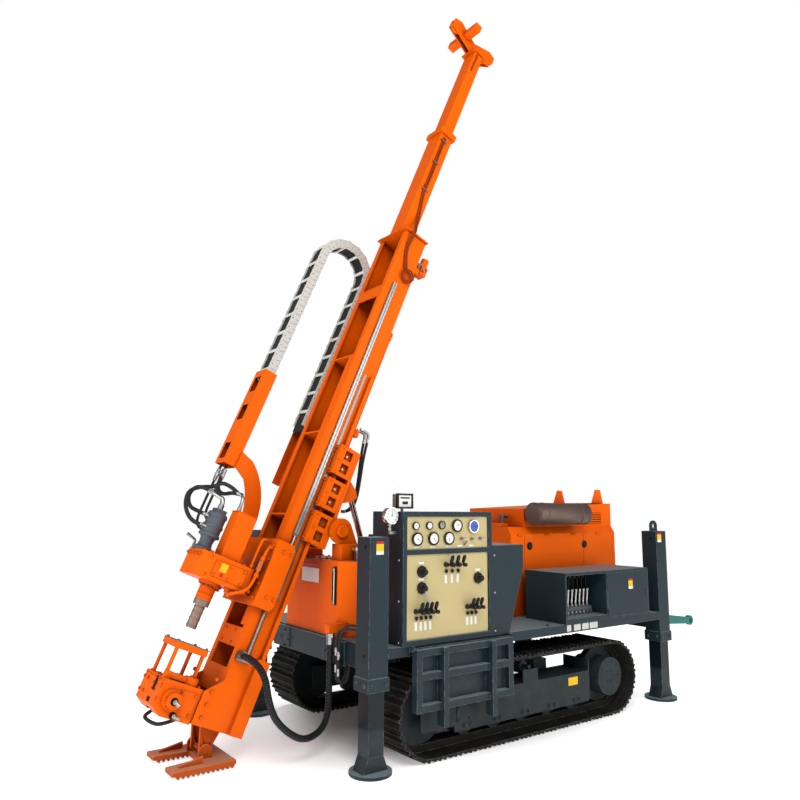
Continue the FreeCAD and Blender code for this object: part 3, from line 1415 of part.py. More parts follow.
FOOT_X = size("pivot_x") - size("foot_u") * math.sin(LEAN) + size("foot_w") * math.cos(LEAN)
FOOT_Z = size("pivot_z") + size("foot_u") * math.cos(LEAN) + size("foot_w") * math.sin(LEAN)


def foot():
    """Forked plate with rows of teeth below and two ears on the pin."""
    tail = "(%.3f - foot_rear)" % FOOT_X
    nose = "(%s + foot_long)" % tail
    web = "(%s + foot_web)" % tail
    plate = prism("plan", (
        (tail, "-foot_half"), (nose, "-foot_half"), (nose, "prong_wide - foot_half"),
        (web, "prong_wide - foot_half + 30"), (web, "foot_half - prong_wide - 30"),
        (nose, "foot_half - prong_wide"), (nose, "foot_half"), (tail, "foot_half"),
    ), "foot_teeth", "foot_teeth + foot_plate")
    teeth = []
    for index in range(int(size("foot_long") // size("tooth_pitch"))):
        at = "%s + 6 + tooth_pitch * %d" % (tail, index)
        row = (
            (at, "foot_teeth + 1"), (at + " + tooth_pitch / 2", "0"),
            (at + " + tooth_pitch - 2", "foot_teeth + 1"),
        )
        if (index + 1.2) * size("tooth_pitch") < size("foot_web"):
            teeth.append(prism("side", row, "-foot_half", "foot_half"))
        else:
            teeth += pair(prism("side", row, "foot_half - prong_wide + 2", "foot_half"))
    rise = "%.3f" % FOOT_Z
    at = "%.3f" % FOOT_X
    start = "92"
    ear = fuse([
        box(at + " - 45", at + " + 45", start, start + " + 18", "foot_teeth + foot_plate", rise),
        rod("y", "45", start, start + " + 18", at, rise),
        rod("y", "foot_pin", "0", start, at, rise),
    ])
    rib = prism("side", (
        (at + " + 45", "foot_teeth + foot_plate"), (nose + " - 60", "foot_teeth + foot_plate"),
        (nose + " - 60", "foot_teeth + foot_plate + 12"), (at + " + 45", rise),
    ), "foot_half - prong_wide / 2 - 9", "foot_half - prong_wide / 2 + 9")
    return fuse([plate] + teeth + pair(ear) + pair(rib))


node("foot", foot())
hanger = []
for start in ("60",):
    lug = fuse([
        prism("side", (("foot_w - 60", "mast_foot"), ("foot_w + 90", "mast_foot"),
                       ("foot_w + foot_eye", "foot_u"), ("foot_w - foot_eye", "foot_u")),
              start, start + " + 24"),
        rod("y", "foot_eye", start, start + " + 24", "foot_w", "foot_u"),
    ])
    hole = rod("y", "foot_pin + seat_gap", start + " - 1", start + " + 25", "foot_w", "foot_u")
    hanger += pair(cut(lug, [hole]))
on_mast("foot_hanger", group(hanger))

# Free hoses: straight runs joined by tangent arcs

# Points of each route; the first two are drawn in the mast's frame
ROUTES = (
    ("head_hose_outer", 20, True, (
        (800, -372, 195), (800, -378, -70), (800, -372, -330), (796, -106.5, -330),
    )),
    ("head_hose_inner", 20, True, (
        (775, -335, 195), (775, -340, -30), (775, -335, -255), (784, -106.5, -255),
    )),
    ("root_hose", 44, False, (
        (2009, size("hose_start"), 685), (2009, 545, 685), (1961, 555, 396), (1833, 520, 253),
        (1654, 470, 146), (1468, 430, 210), (1446, 410, 463), (1440, 400, 798.5),
    )),
)


def hose(points, diameter):
    """Tube along a route whose corners are rounded by arcs."""
    spots = [Vector(*point) for point in points]
    edges = []
    start = spots[0]
    tightest = None
    for index in range(1, len(spots) - 1):
        corner = spots[index]
        back, ahead = spots[index - 1] - corner, spots[index + 1] - corner
        half = (math.pi - back.getAngle(ahead)) / 2
        trim = 0.45 * min(back.Length, ahead.Length)
        radius = trim / math.tan(half)
        tightest = min(radius, tightest or radius)
        first = corner + Vector(back).normalize() * trim
        last = corner + Vector(ahead).normalize() * trim
        inward = (Vector(back).normalize() + Vector(ahead).normalize()).normalize()
        crest = corner + inward * (radius / math.cos(half) - radius)
        edges.append(Part.LineSegment(start, first).toShape())
        edges.append(Part.Arc(first, crest, last).toShape())
        start = last
    edges.append(Part.LineSegment(start, spots[-1]).toShape())
    spine = Part.Wire(edges)
    ring = Part.Wire([Part.Circle(spots[0], spots[1] - spots[0], diameter / 2).toShape()])
    tube = spine.makePipeShell([ring], True, False)
    print("tube %.0f mm long, tightest arc %.0f mm" % (spine.Length, tightest))
    return tube


for label, diameter, raised, points in ROUTES:
    tube = group([shaped(hose(points, diameter))])
    if raised:
        on_mast(label, tube)
    else:
        node(label, tube)

doc.recompute()
for item in doc.Objects:
    if "Invalid" in item.State or "Error" in item.State:
        raise RuntimeError("%s (%s) failed: %s" % (item.Name, item.Label, item.State))
os.makedirs("parts", exist_ok=True)
for item in NODES:
    if item.Shape.isNull() or not item.Shape.isValid():
        raise RuntimeError("%s has no valid shape" % item.Label)
for item in NODES:
    item.Shape.exportStep(os.path.join("parts", item.Label + ".step"))
print("%d sub-parts written" % len(NODES))
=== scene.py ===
"""Looks of a crawler core drilling rig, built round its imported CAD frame."""

import json
import logging
import math
from dataclasses import dataclass, field, replace
from enum import Enum
from itertools import product
from typing import Iterable, Sequence

import bmesh
import bpy
from mathutils import Matrix, Vector

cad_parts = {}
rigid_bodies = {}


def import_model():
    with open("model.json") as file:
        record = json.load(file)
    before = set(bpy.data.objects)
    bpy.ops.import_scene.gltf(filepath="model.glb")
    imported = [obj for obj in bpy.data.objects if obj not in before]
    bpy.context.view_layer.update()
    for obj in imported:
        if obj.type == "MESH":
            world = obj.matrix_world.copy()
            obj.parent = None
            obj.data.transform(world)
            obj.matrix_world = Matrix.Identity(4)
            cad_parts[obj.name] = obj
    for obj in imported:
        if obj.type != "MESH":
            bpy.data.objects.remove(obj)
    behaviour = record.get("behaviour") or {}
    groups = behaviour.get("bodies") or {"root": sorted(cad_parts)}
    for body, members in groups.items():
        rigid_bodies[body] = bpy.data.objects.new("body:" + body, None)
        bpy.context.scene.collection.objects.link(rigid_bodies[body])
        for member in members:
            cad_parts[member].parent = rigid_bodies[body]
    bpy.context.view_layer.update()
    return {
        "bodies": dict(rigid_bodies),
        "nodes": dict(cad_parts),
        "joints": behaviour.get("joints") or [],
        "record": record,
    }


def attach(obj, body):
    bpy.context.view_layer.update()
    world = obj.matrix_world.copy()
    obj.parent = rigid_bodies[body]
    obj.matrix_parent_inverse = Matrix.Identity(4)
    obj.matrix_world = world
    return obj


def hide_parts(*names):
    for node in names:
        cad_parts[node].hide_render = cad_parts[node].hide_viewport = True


LOG = logging.getLogger("rig")
Point = Sequence[float]
Profile = Sequence[tuple[float, float]]
Tree = bpy.types.NodeTree
Socket = bpy.types.NodeSocket

AHEAD, LEFT, UP, DOWN = (1, 0, 0), (0, 1, 0), (0, 0, 1), (0, 0, -1)
SIDES = (-1, 1)

# The mast's own frame: w is forward of it, y to its left, u up along it
MAST_LEAN = math.radians(23)
PIVOT = (1.3, 0.0, 1.486)
MAST = Matrix.Translation(PIVOT) @ Matrix.Rotation(-MAST_LEAN, 4, "Y")


# ---------------------------------------------------------------- node helpers

def linear(hex_code: str) -> tuple[float, float, float, float]:
    """Turns an sRGB hex colour to linear light.

    Args:
        hex_code: Colour such as "#E9590F".

    Returns:
        Red, green, blue and alpha from 0 to 1.
    """
    parts = [int(hex_code[i:i + 2], 16) / 255 for i in (1, 3, 5)]
    curve = [c / 12.92 if c <= 0.04045 else ((c + 0.055) / 1.055) ** 2.4 for c in parts]
    return (curve[0], curve[1], curve[2], 1.0)


def put(tree: Tree, kind: str, feeds: dict | None = None, **settings: object) -> bpy.types.Node:
    """Adds a node to a tree.

    Args:
        tree: Node tree of a material or the world.
        kind: Blender's name of the node type.
        feeds: Input name or number to a value, or to the socket that feeds it.
        settings: Attributes of the node.

    Returns:
        The new node.
    """
    node = tree.nodes.new(kind)
    for name, value in settings.items():
        setattr(node, name, value)
    for name, value in (feeds or {}).items():
        if isinstance(value, Socket):
            tree.links.new(value, node.inputs[name])
        else:
            node.inputs[name].default_value = value
    return node


def spread(tree: Tree, value: Socket, source: Point = (0, 1), target: Point = (0, 1),
           **settings: object) -> Socket:
    """Maps one range of a value onto another."""
    return put(tree, "ShaderNodeMapRange", {
        "Value": value, "From Min": source[0], "From Max": source[1],
        "To Min": target[0], "To Max": target[1]}, **settings).outputs[0]


def noise(tree: Tree, spot: Socket, scale: float, detail: float, roughness: float) -> Socket:
    """Makes soft noise from 0 to 1, with scale spots a metre."""
    return put(tree, "ShaderNodeTexNoise", {
        "Vector": spot, "Scale": scale, "Detail": detail, "Roughness": roughness}).outputs["Fac"]


def times(tree: Tree, first: Socket, second: Socket | float, **settings: object) -> Socket:
    """Multiplies a socket by another one or by a number."""
    return put(tree, "ShaderNodeMath", {0: first, 1: second}, operation="MULTIPLY", **settings).outputs[0]


def height_of(tree: Tree, vector: Socket) -> Socket:
    """Takes the Z part of a place or direction."""
    return put(tree, "ShaderNodeSeparateXYZ", {"Vector": vector}).outputs["Z"]


# ---------------------------------------------------------------- finishes

# Sockets of a mix node that carry colours: what lies under, what lies over, and the result
UNDER, OVER, MIXED = 6, 7, 2
GREASE = "#0B1212"


class Pattern(Enum):
    """How a surface was made, which sets its fine bump."""

    SPRAYED = "sprayed"
    GROUND = "ground"
    CAST = "cast"
    MOULDED = "moulded"
    WOVEN = "woven"
    RIBBED = "ribbed"


@dataclass(frozen=True)
class Finish:
    """One real finish: its colour, gloss, fine bump, the layers of use on it, and painted shade in its
    recesses.

    grain_mm is the size of the bump. soil lies low on the machine, wear on edges, painted shade in recesses
    and dust on top faces; film_above is the height in metres where grease starts.
    """

    name: str
    colour: str
    roughness: float
    metallic: float = 0.0
    coat: float = 0.0
    pattern: Pattern = Pattern.SPRAYED
    grain_mm: float = 3.0
    bump: float = 0.05
    mottle: float = 0.08
    specular: float = 0.2
    soil: float = 0.0
    soil_colour: str = "#6E6254"
    wear: float = 0.0
    wear_colour: str = "#6B6A66"
    film_above: float = 0.0
    recess_shade: float = 0.0
    recess_shade_colour: str = "#1A1613"
    dust: float = 0.0
    dust_colour: str = "#A5A8A4"

    def material(self) -> bpy.types.Material:
        """Builds the material at its first use.

        Returns:
            The material, the same one at every call.
        """
        found = bpy.data.materials.get(self.name)
        if found:
            return found
        made = bpy.data.materials.new(self.name)
        made.use_nodes = True
        tree = made.node_tree
        tree.nodes.clear()
        spot = put(tree, "ShaderNodeTexCoord").outputs["Object"]
        cloud = noise(tree, spot, 2.5, 6.0, 0.6)
        dark, light = ((*(min(1.0, c * share) for c in linear(self.colour)[:3]), 1.0)
                       for share in (1 - self.mottle, 1 + self.mottle))
        colour = self._mix(tree, cloud, dark, light)
        rough = spread(tree, cloud, target=(max(0.03, self.roughness - 0.06), self.roughness + 0.08))
        for amount, mask, hue, gloss in (
                (self.soil, self._soil_mask, self.soil_colour, 0.85),
                (self.wear, self._edge_mask, self.wear_colour, None),
                (self.film_above, self._film_mask, GREASE, 0.22),
                # painted shade: recesses and inner corners darkened by ambient occlusion
                (self.recess_shade, self._recess_shade_mask, self.recess_shade_colour, None),
                (self.dust, self._dust_mask, self.dust_colour, None)):
            if amount > 0:
                share = mask(tree, spot)
                colour = self._mix(tree, share, colour, linear(hue))
                if gloss is not None:
                    rough = put(tree, "ShaderNodeMix", {"Factor": share, "A": rough, "B": gloss}).outputs[0]
        shader = put(tree, "ShaderNodeBsdfPrincipled", {
            "Base Color": colour, "Roughness": rough, "Metallic": self.metallic,
            "Specular IOR Level": self.specular, "Coat Weight": self.coat, "Coat Roughness": 0.12,
            "Normal": self._bump(tree, spot)})
        put(tree, "ShaderNodeOutputMaterial", {"Surface": shader.outputs[0]})
        return made

    @staticmethod
    def _mix(tree: Tree, share: Socket, under: Socket | Point, over: Socket | Point) -> Socket:
        """Mixes a colour over another one, by a share from 0 to 1."""
        return put(tree, "ShaderNodeMix", {"Factor": share, UNDER: under, OVER: over},
                   data_type="RGBA").outputs[MIXED]

    @staticmethod
    def _patchy(tree: Tree, spot: Socket, mask: Socket, scale: float, detail: float,
                amount: float) -> Socket:
        """Breaks a mask up in patches and scales it."""
        patch = spread(tree, noise(tree, spot, scale, detail, 0.7), (0.4, 0.62))
        return times(tree, times(tree, mask, patch), amount, use_clamp=True)

    def _soil_mask(self, tree: Tree, spot: Socket) -> Socket:
        """Dry soil that grows towards the ground and lies in patches."""
        low = spread(tree, height_of(tree, spot), (0.75, 0.0), (0.05, 1.0))
        return self._patchy(tree, spot, low, 9.0, 8.0, self.soil)

    def _edge_mask(self, tree: Tree, spot: Socket) -> Socket:
        """Paint rubbed thin along edges, broken up in patches.

        Args:
            tree: Node tree of the material.
            spot: Socket with the Object coordinates.

        Returns:
            Socket with the mask, from 0 to 1.
        """
        agree = put(tree, "ShaderNodeVectorMath", {
            0: put(tree, "ShaderNodeBevel", {"Radius": 0.006}, samples=4).outputs["Normal"],
            1: put(tree, "ShaderNodeNewGeometry").outputs["True Normal"]}, operation="DOT_PRODUCT")
        edge = spread(tree, agree.outputs["Value"], (0.985, 0.86))
        return self._patchy(tree, spot, edge, 22.0, 6.0, self.wear)

    def _film_mask(self, tree: Tree, spot: Socket) -> Socket:
        """Grease above the height where a leg leaves its tube."""
        return spread(tree, height_of(tree, spot), (self.film_above - 0.02, self.film_above + 0.01),
                      (0, 0.8))

    def _recess_shade_mask(self, tree: Tree, spot: Socket) -> Socket:
        """Painted shade: darkens recesses and inner corners by ambient occlusion, where less light falls."""
        open_sky = put(tree, "ShaderNodeAmbientOcclusion", {"Distance": 0.3}, samples=4).outputs["AO"]
        return spread(tree, open_sky, (0.8, 0.25), (0, self.recess_shade))

    def _dust_mask(self, tree: Tree, spot: Socket) -> Socket:
        """Pale dust on faces that look up."""
        facing = put(tree, "ShaderNodeTexCoord").outputs["Normal"]
        return spread(tree, height_of(tree, facing), (0.8, 1.0), (0, self.dust))

    def _bump(self, tree: Tree, spot: Socket) -> Socket:
        """Fine bump: orange peel, grinding lines, cast grit, moulded grain or spiral ribs.

        Args:
            tree: Node tree of the material.
            spot: Socket with the Object coordinates.

        Returns:
            Socket with the normal.
        """
        if self.pattern is Pattern.RIBBED:
            along = put(tree, "ShaderNodeTexCoord").outputs["UV"]
            height = put(tree, "ShaderNodeTexWave", {"Vector": along, "Scale": 26.0}, wave_type="BANDS",
                         bands_direction="X", wave_profile="SIN").outputs["Fac"]
            strength, distance = 1.0, 0.006
        else:
            scale, strength, distance = 1000.0 / self.grain_mm, self.bump * 4, 0.001
            stretch = {Pattern.GROUND: 0.06, Pattern.WOVEN: 3.0}.get(self.pattern, 1.0)
            drawn = put(tree, "ShaderNodeMapping", {
                "Vector": spot, "Scale": (1.0, 1.0, stretch)}).outputs[0]
            if self.pattern is Pattern.CAST:
                height = put(tree, "ShaderNodeTexVoronoi", {
                    "Vector": drawn, "Scale": scale / 3}).outputs["Distance"]
            else:
                height = noise(tree, drawn, scale / 4, 3.0, 0.5)
        return put(tree, "ShaderNodeBump", {
            "Height": height, "Strength": strength, "Distance": distance}).outputs["Normal"]


# Enamel sprayed on steel: gloss with a faint orange peel, with painted shade darkening its recesses
ORANGE = Finish("enamel_orange", "#EA5F00", 0.42, grain_mm=6, specular=0.07, soil=0.1, wear=0.55,
                wear_colour="#7A2C06", recess_shade=0.8, recess_shade_colour="#5A1C02", dust=0.3,
                dust_colour="#D8925F")
# The same enamel on the foot plates, scuffed pale by boots and rock
SCUFFED = replace(ORANGE, name="enamel_scuffed", colour="#C65610", wear=0.9, wear_colour="#D9A98C",
                  dust=0.85, dust_colour="#C48D70")
# Satin slate enamel on the deck, jacks and boxes, dusty low down
SLATE = Finish("enamel_slate", "#1C2B32", 0.42, grain_mm=6, soil=0.15, wear=0.9,
               wear_colour="#84949A", dust=0.5, dust_colour="#9DB0B4")
# Jack legs: the same enamel under a film of grease where they slide in their tubes
GREASED = replace(SLATE, name="enamel_greased", film_above=0.27)
# The same paint on the undercarriage, duller and dirtier
FRAME_DARK = Finish("enamel_undercarriage", "#1B272B", 0.5, grain_mm=7, soil=0.35,
                    soil_colour="#4A463C", wear=0.6, wear_colour="#59605F")
# Enamel of the control panels and of the pump gear
BEIGE = Finish("enamel_beige", "#B8A878", 0.5, grain_mm=4, mottle=0.04)
TEAL = Finish("enamel_teal", "#1E6F66", 0.45, soil=0.3)
# White enamel, and printed vinyl of the safety plates
WHITE = Finish("enamel_white", "#DADAD4", 0.4, grain_mm=4, mottle=0.03)
YELLOW = Finish("vinyl_yellow", "#E3B312", 0.4, mottle=0.03)
RED = Finish("vinyl_red", "#B5201A", 0.4, mottle=0.03)
# Blue glass of one gauge
BLUE = Finish("lamp_blue", "#1B3FA8", 0.25, coat=0.6, mottle=0.03)
# Rolled track steel, worn bright on the bars and caked with dry soil
TRACK = Finish("worn_track_steel", "#161717", 0.6, 0.3, pattern=Pattern.CAST, grain_mm=8, bump=0.12,
               mottle=0.3, soil=0.35, soil_colour="#3A342B", wear=0.9, wear_colour="#8F8C86")
# Ground mild steel, oiled
STEEL = Finish("ground_steel", "#8A8A87", 0.36, 1.0, pattern=Pattern.GROUND, grain_mm=2, mottle=0.12)
# Steel of the spindle's sub, browned by oil and dust
SUB = Finish("oiled_sub_steel", "#8F7B6E", 0.48, 0.6, pattern=Pattern.GROUND, grain_mm=2, mottle=0.2)
# Hard chrome on rods, and zinc on fittings
CHROME = Finish("hard_chrome", "#CFD0D0", 0.14, 1.0, pattern=Pattern.GROUND, grain_mm=1, bump=0.01,
                mottle=0.05)
ZINC = Finish("zinc_plate", "#A9ABAA", 0.3, 1.0, grain_mm=2, mottle=0.1)
# Glass-filled nylon of the energy chain
NYLON = Finish("nylon_grey", "#BDBDB7", 0.5, pattern=Pattern.MOULDED, grain_mm=2, mottle=0.06)
# Woven cover of hydraulic hoses
RUBBER = Finish("hose_rubber", "#161719", 0.55, pattern=Pattern.WOVEN, bump=0.1)
# Spiral guard of black nylon round a hose bundle
GUARD = Finish("spiral_guard", "#191C1F", 0.45, pattern=Pattern.RIBBED, bump=0.5)
# Rubber lines that were painted over with the mast
OVERSPRAY = Finish("overspray_rubber", "#8A3206", 0.55, mottle=0.25)
# Moulded handles, rims and clamps
BLACK = Finish("black_plastic", "#17181A", 0.38, pattern=Pattern.MOULDED, grain_mm=1.5)
# Cast iron motor body in grey primer
IRON = Finish("cast_iron_primer", "#565C63", 0.55, 0.2, pattern=Pattern.CAST, grain_mm=4, bump=0.12)
# Aluminised steel, browned by heat
HEAT = Finish("heated_steel", "#6B5950", 0.42, 0.6, pattern=Pattern.CAST, grain_mm=5, mottle=0.35)
# Painted shade: black that stands in for the dark inside of ports and recesses
SHADE = Finish("shadow_black", "#0C0D0E", 0.7)

BY_SLOT = {
    "orange_paint": ORANGE, "grey_paint": SLATE, "track_steel": TRACK, "dark_frame": FRAME_DARK,
    "beige_panel": BEIGE, "bare_steel": STEEL, "chrome_rod": CHROME, "chain_plastic": NYLON,
    "teal_paint": TEAL, "muffler_steel": HEAT, "hose_rubber": RUBBER,
}
BY_NODE = {"head_motor": IRON, "control_levers": BLACK, "feed_chain": STEEL, "console_panels": BEIGE,
           "spindle": SUB, "foot": SCUFFED} | {
    f"jack_leg_{end}_{side}": GREASED for end, side in product(("front", "rear"), ("left", "right"))}


# ---------------------------------------------------------------- making pieces

FINE = {"bevel": 0.0008, "segments": 1}
FLAT = {"bevel": 0, "smooth": False}


def add_object(name: str, data: bpy.types.ID) -> bpy.types.Object:
    """Adds an object to the scene.

    Args:
        name: Its name.
        data: Its mesh, curve, camera or lamp.

    Returns:
        The new object.
    """
    thing = bpy.data.objects.new(name, data)
    bpy.context.scene.collection.objects.link(thing)
    return thing


def round_edges(thing: bpy.types.Object, width: float, limit: float, segments: int = 2) -> None:
    """Adds a bevel modifier.

    Args:
        thing: Object with a mesh.
        width: Width of the bevel.
        limit: Smallest angle in degrees that is rounded.
        segments: Steps of the rounding.
    """
    edge = thing.modifiers.new("edges", "BEVEL")
    edge.width, edge.segments = width, segments
    edge.limit_method, edge.angle_limit = "ANGLE", math.radians(limit)


def turn_to(axis: Point) -> Matrix:
    """Gives the rotation that takes +Z to an axis."""
    return Vector(axis).normalized().to_track_quat("Z", "Y").to_matrix().to_4x4()


def around(radius: float, count: int) -> list[tuple[float, float, float]]:
    """Spreads places on a circle: both coordinates and the angle of each."""
    angles = [math.tau * index / count for index in range(count)]
    return [(radius * math.cos(angle), radius * math.sin(angle), angle) for angle in angles]


@dataclass
class Piece:
    """A mesh under construction, from bmesh shapes, for one body and one finish.

    Places are given in the piece's frame; each method adds one shape or one set.
    """

    name: str
    body: str
    finish: Finish
    slot: str
    frame: Matrix = field(default_factory=Matrix)
    bevel: float = 0.001
    segments: int = 2
    smooth: bool = True

    def __post_init__(self) -> None:
        """Starts the mesh."""
        self.bm = bmesh.new()

    def block(self, centre: Point, size: Point, turn: Matrix | None = None) -> None:
        """Adds a block, which the bevel modifier rounds."""
        place = self.frame @ Matrix.Translation(centre) @ (turn or Matrix())
        bmesh.ops.create_cube(self.bm, size=1.0, matrix=place @ Matrix.Diagonal((*size, 1.0)))

    def bar(self, start: Point, end: Point, radius: float, tip: float | None = None,
            sides: int = 24) -> None:
        """Adds a round bar or cone from one point to another.

        Args:
            start: Middle of its first face.
            end: Middle of its last face.
            radius: Radius at the start.
            tip: Radius at the end, where it is another one.
            sides: Number of sides.
        """
        a, b = Vector(start), Vector(end)
        bmesh.ops.create_cone(self.bm, cap_ends=True, segments=sides, radius1=radius,
                              radius2=radius if tip is None else tip, depth=(b - a).length,
                              matrix=self.frame @ Matrix.Translation((a + b) / 2) @ turn_to(b - a))

    def nut(self, at: Point, run: Point, radius: float, sides: int = 6) -> None:
        """Adds a nut or collar from its seat along a vector."""
        self.bar(at, Vector(at) + Vector(run), radius, sides=sides)

    def ball(self, centre: Point, radius: float) -> None:
        """Adds a ball."""
        bmesh.ops.create_uvsphere(self.bm, u_segments=20, v_segments=12, radius=radius,
                                  matrix=self.frame @ Matrix.Translation(centre))

    def lathe(self, at: Point, axis: Point, profile: Profile, steps: int = 32) -> None:
        """Spins an outline round an axis.

        Args:
            at: Place where the height is 0.
            axis: Direction in which the height grows.
            profile: Radius and height of each point of the outline.
            steps: Number of sides.
        """
        verts = [self.bm.verts.new(Vector((r, 0, h))) for r, h in profile]
        edges = [self.bm.edges.new(pair) for pair in zip(verts, verts[1:])]
        bmesh.ops.spin(self.bm, geom=verts + edges, cent=(0, 0, 0), axis=(0, 0, 1),
                       angle=math.tau, steps=steps, use_merge=True, use_duplicate=False)
        faces = {face for vert in verts for face in vert.link_faces}
        grow = list(faces)
        while grow:
            near = {other for edge in grow.pop().edges for other in edge.link_faces} - faces
            faces |= near
            grow.extend(near)
        found = list({vert for face in faces for vert in face.verts})
        bmesh.ops.remove_doubles(self.bm, verts=found, dist=1e-6)
        bmesh.ops.transform(self.bm, matrix=self.frame @ Matrix.Translation(at) @ turn_to(axis),
                            verts=[vert for vert in found if vert.is_valid])

    def bolt(self, at: Point, axis: Point, across: float) -> None:
        """Adds a hexagon head on its washer.

        Args:
            at: Middle of the washer's seat.
            axis: Direction of the head.
            across: Width of the head.
        """
        seat, way = Vector(at), Vector(axis).normalized() * across
        self.bar(seat, seat + way * 0.12, across * 0.72, sides=16)
        self.bar(seat + way * 0.12, seat + way * 0.6, across * 0.56, across * 0.54, sides=6)

    def bolts(self, spots: Iterable[Point], axis: Point, across: float) -> None:
        """Adds a bolt of a given width at each seat."""
        for spot in spots:
            self.bolt(spot, axis, across)

    def side_bolts(self, spots: Iterable[Point], across: float) -> None:
        """Adds bolts that look outwards on both sides, from their seats on the left."""
        for (x, y, z), hand in product(spots, SIDES):
            self.bolt((x, y * hand, z), (0, hand, 0), across)

    def ring_of_bolts(self, at: Point, axis: Point, radius: float, count: int, across: float) -> None:
        """Adds bolts on a circle.

        Args:
            at: Middle of the circle.
            axis: Direction of the heads.
            radius: Radius of the circle.
            count: Number of bolts.
            across: Width of a head.
        """
        turn = turn_to(axis)
        self.bolts((Vector(at) + turn @ Vector((x, y, 0)) for x, y, _ in around(radius, count)),
                   axis, across)

    def finish_up(self) -> bpy.types.Object:
        """Closes the mesh, adds the bevel, dresses the piece and puts it on its body.

        Returns:
            The finished object.
        """
        bmesh.ops.remove_doubles(self.bm, verts=self.bm.verts, dist=1e-6)
        bmesh.ops.recalc_face_normals(self.bm, faces=self.bm.faces)
        mesh = bpy.data.meshes.new(self.name)
        self.bm.to_mesh(mesh)
        self.bm.free()
        mesh.materials.append(self.finish.material())
        thing = add_object(self.name, mesh)
        if self.smooth:
            mesh.shade_smooth()
            mesh.set_sharp_from_angle(angle=math.radians(38))
        if self.bevel > 0:
            round_edges(thing, self.bevel, 40, self.segments)
        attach(thing, self.body)
        LOG.info("piece %s on %s", self.name, self.body)
        return thing


def pipe(name: str, body: str, finish: Finish, points: Iterable[Point], radius: float,
         frame: Matrix) -> bpy.types.Object:
    """Makes a bent pipe or a fixed line along a smooth route.

    Args:
        name: Name of the piece.
        body: CAD body it rides on.
        finish: Its finish.
        points: Corners of the route.
        radius: Outer radius in metres.
        frame: Frame of the points.

    Returns:
        The curve object.
    """
    curve = bpy.data.curves.new(name, "CURVE")
    curve.dimensions = "3D"
    curve.bevel_depth, curve.bevel_resolution, curve.resolution_u = 1.0, 4, 12
    curve.use_fill_caps = True
    spline = curve.splines.new("NURBS")
    route = [frame @ Vector(p) for p in points]
    spline.points.add(len(route) - 1)
    for point, spot in zip(spline.points, route):
        point.radius = radius
        point.co = (*spot, 1.0)
    spline.order_u = 3
    spline.use_endpoint_u = True
    curve.materials.append(finish.material())
    thing = add_object(name, curve)
    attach(thing, body)
    LOG.info("line %s on %s", name, body)
    return thing


@dataclass
class Assembly:
    """One part of the rig, whose pieces share a body, a slot and a frame unless they say otherwise."""

    body: str = "chassis"
    slot: str = "grey_paint"
    frame: Matrix = field(default_factory=Matrix)
    started: list[Piece] = field(default_factory=list)

    def piece(self, name: str, finish: Finish, slot: str = "", body: str = "", **edges: float) -> Piece:
        """Starts a piece, which build() closes; edges are its bevel, segments and smooth."""
        home = body or self.body
        self.started.append(Piece(name, home, finish, slot or self.slot, self.frame, **edges))
        return self.started[-1]

    def line(self, name: str, finish: Finish, points: Iterable[Point], radius: float,
             slot: str = "hose_rubber", body: str = "") -> None:
        """Makes a pipe or a fixed line on a body."""
        pipe(name, body or self.body, finish, points, radius, self.frame)

    def parts(self) -> None:
        """Starts the pieces and makes the lines; every assembly has its own."""

    def build(self) -> dict[str, bpy.types.Object]:
        """Builds the parts and closes the pieces.

        Returns:
            The finished pieces by name.
        """
        self.parts()
        return {piece.name: piece.finish_up() for piece in self.started}


# ---------------------------------------------------------------- sub-assemblies

@dataclass
class Castings:
    """The CAD nodes that stay as they are, with rounded edges and real finishes."""

    edge: float = 0.003
    track_edge: float = 0.0015

    def dress(self, frame: dict) -> None:
        """Gives each node its finish and a small edge radius.
        """
        slots = {row["node"]: row["material_slot"] for row in frame["record"]["subparts"]}
        for name, thing in frame["nodes"].items():
            finish = BY_NODE.get(name) or BY_SLOT[slots[name]]
            thing.data.materials.clear()
            thing.data.materials.append(finish.material())
            thing.modifiers.new("weld", "WELD").merge_threshold = 0.00002
            fine = name.startswith(("track_l", "track_r"))
            round_edges(thing, self.track_edge if fine else self.edge, 48)
        LOG.info("dressed %d nodes", len(frame["nodes"]))


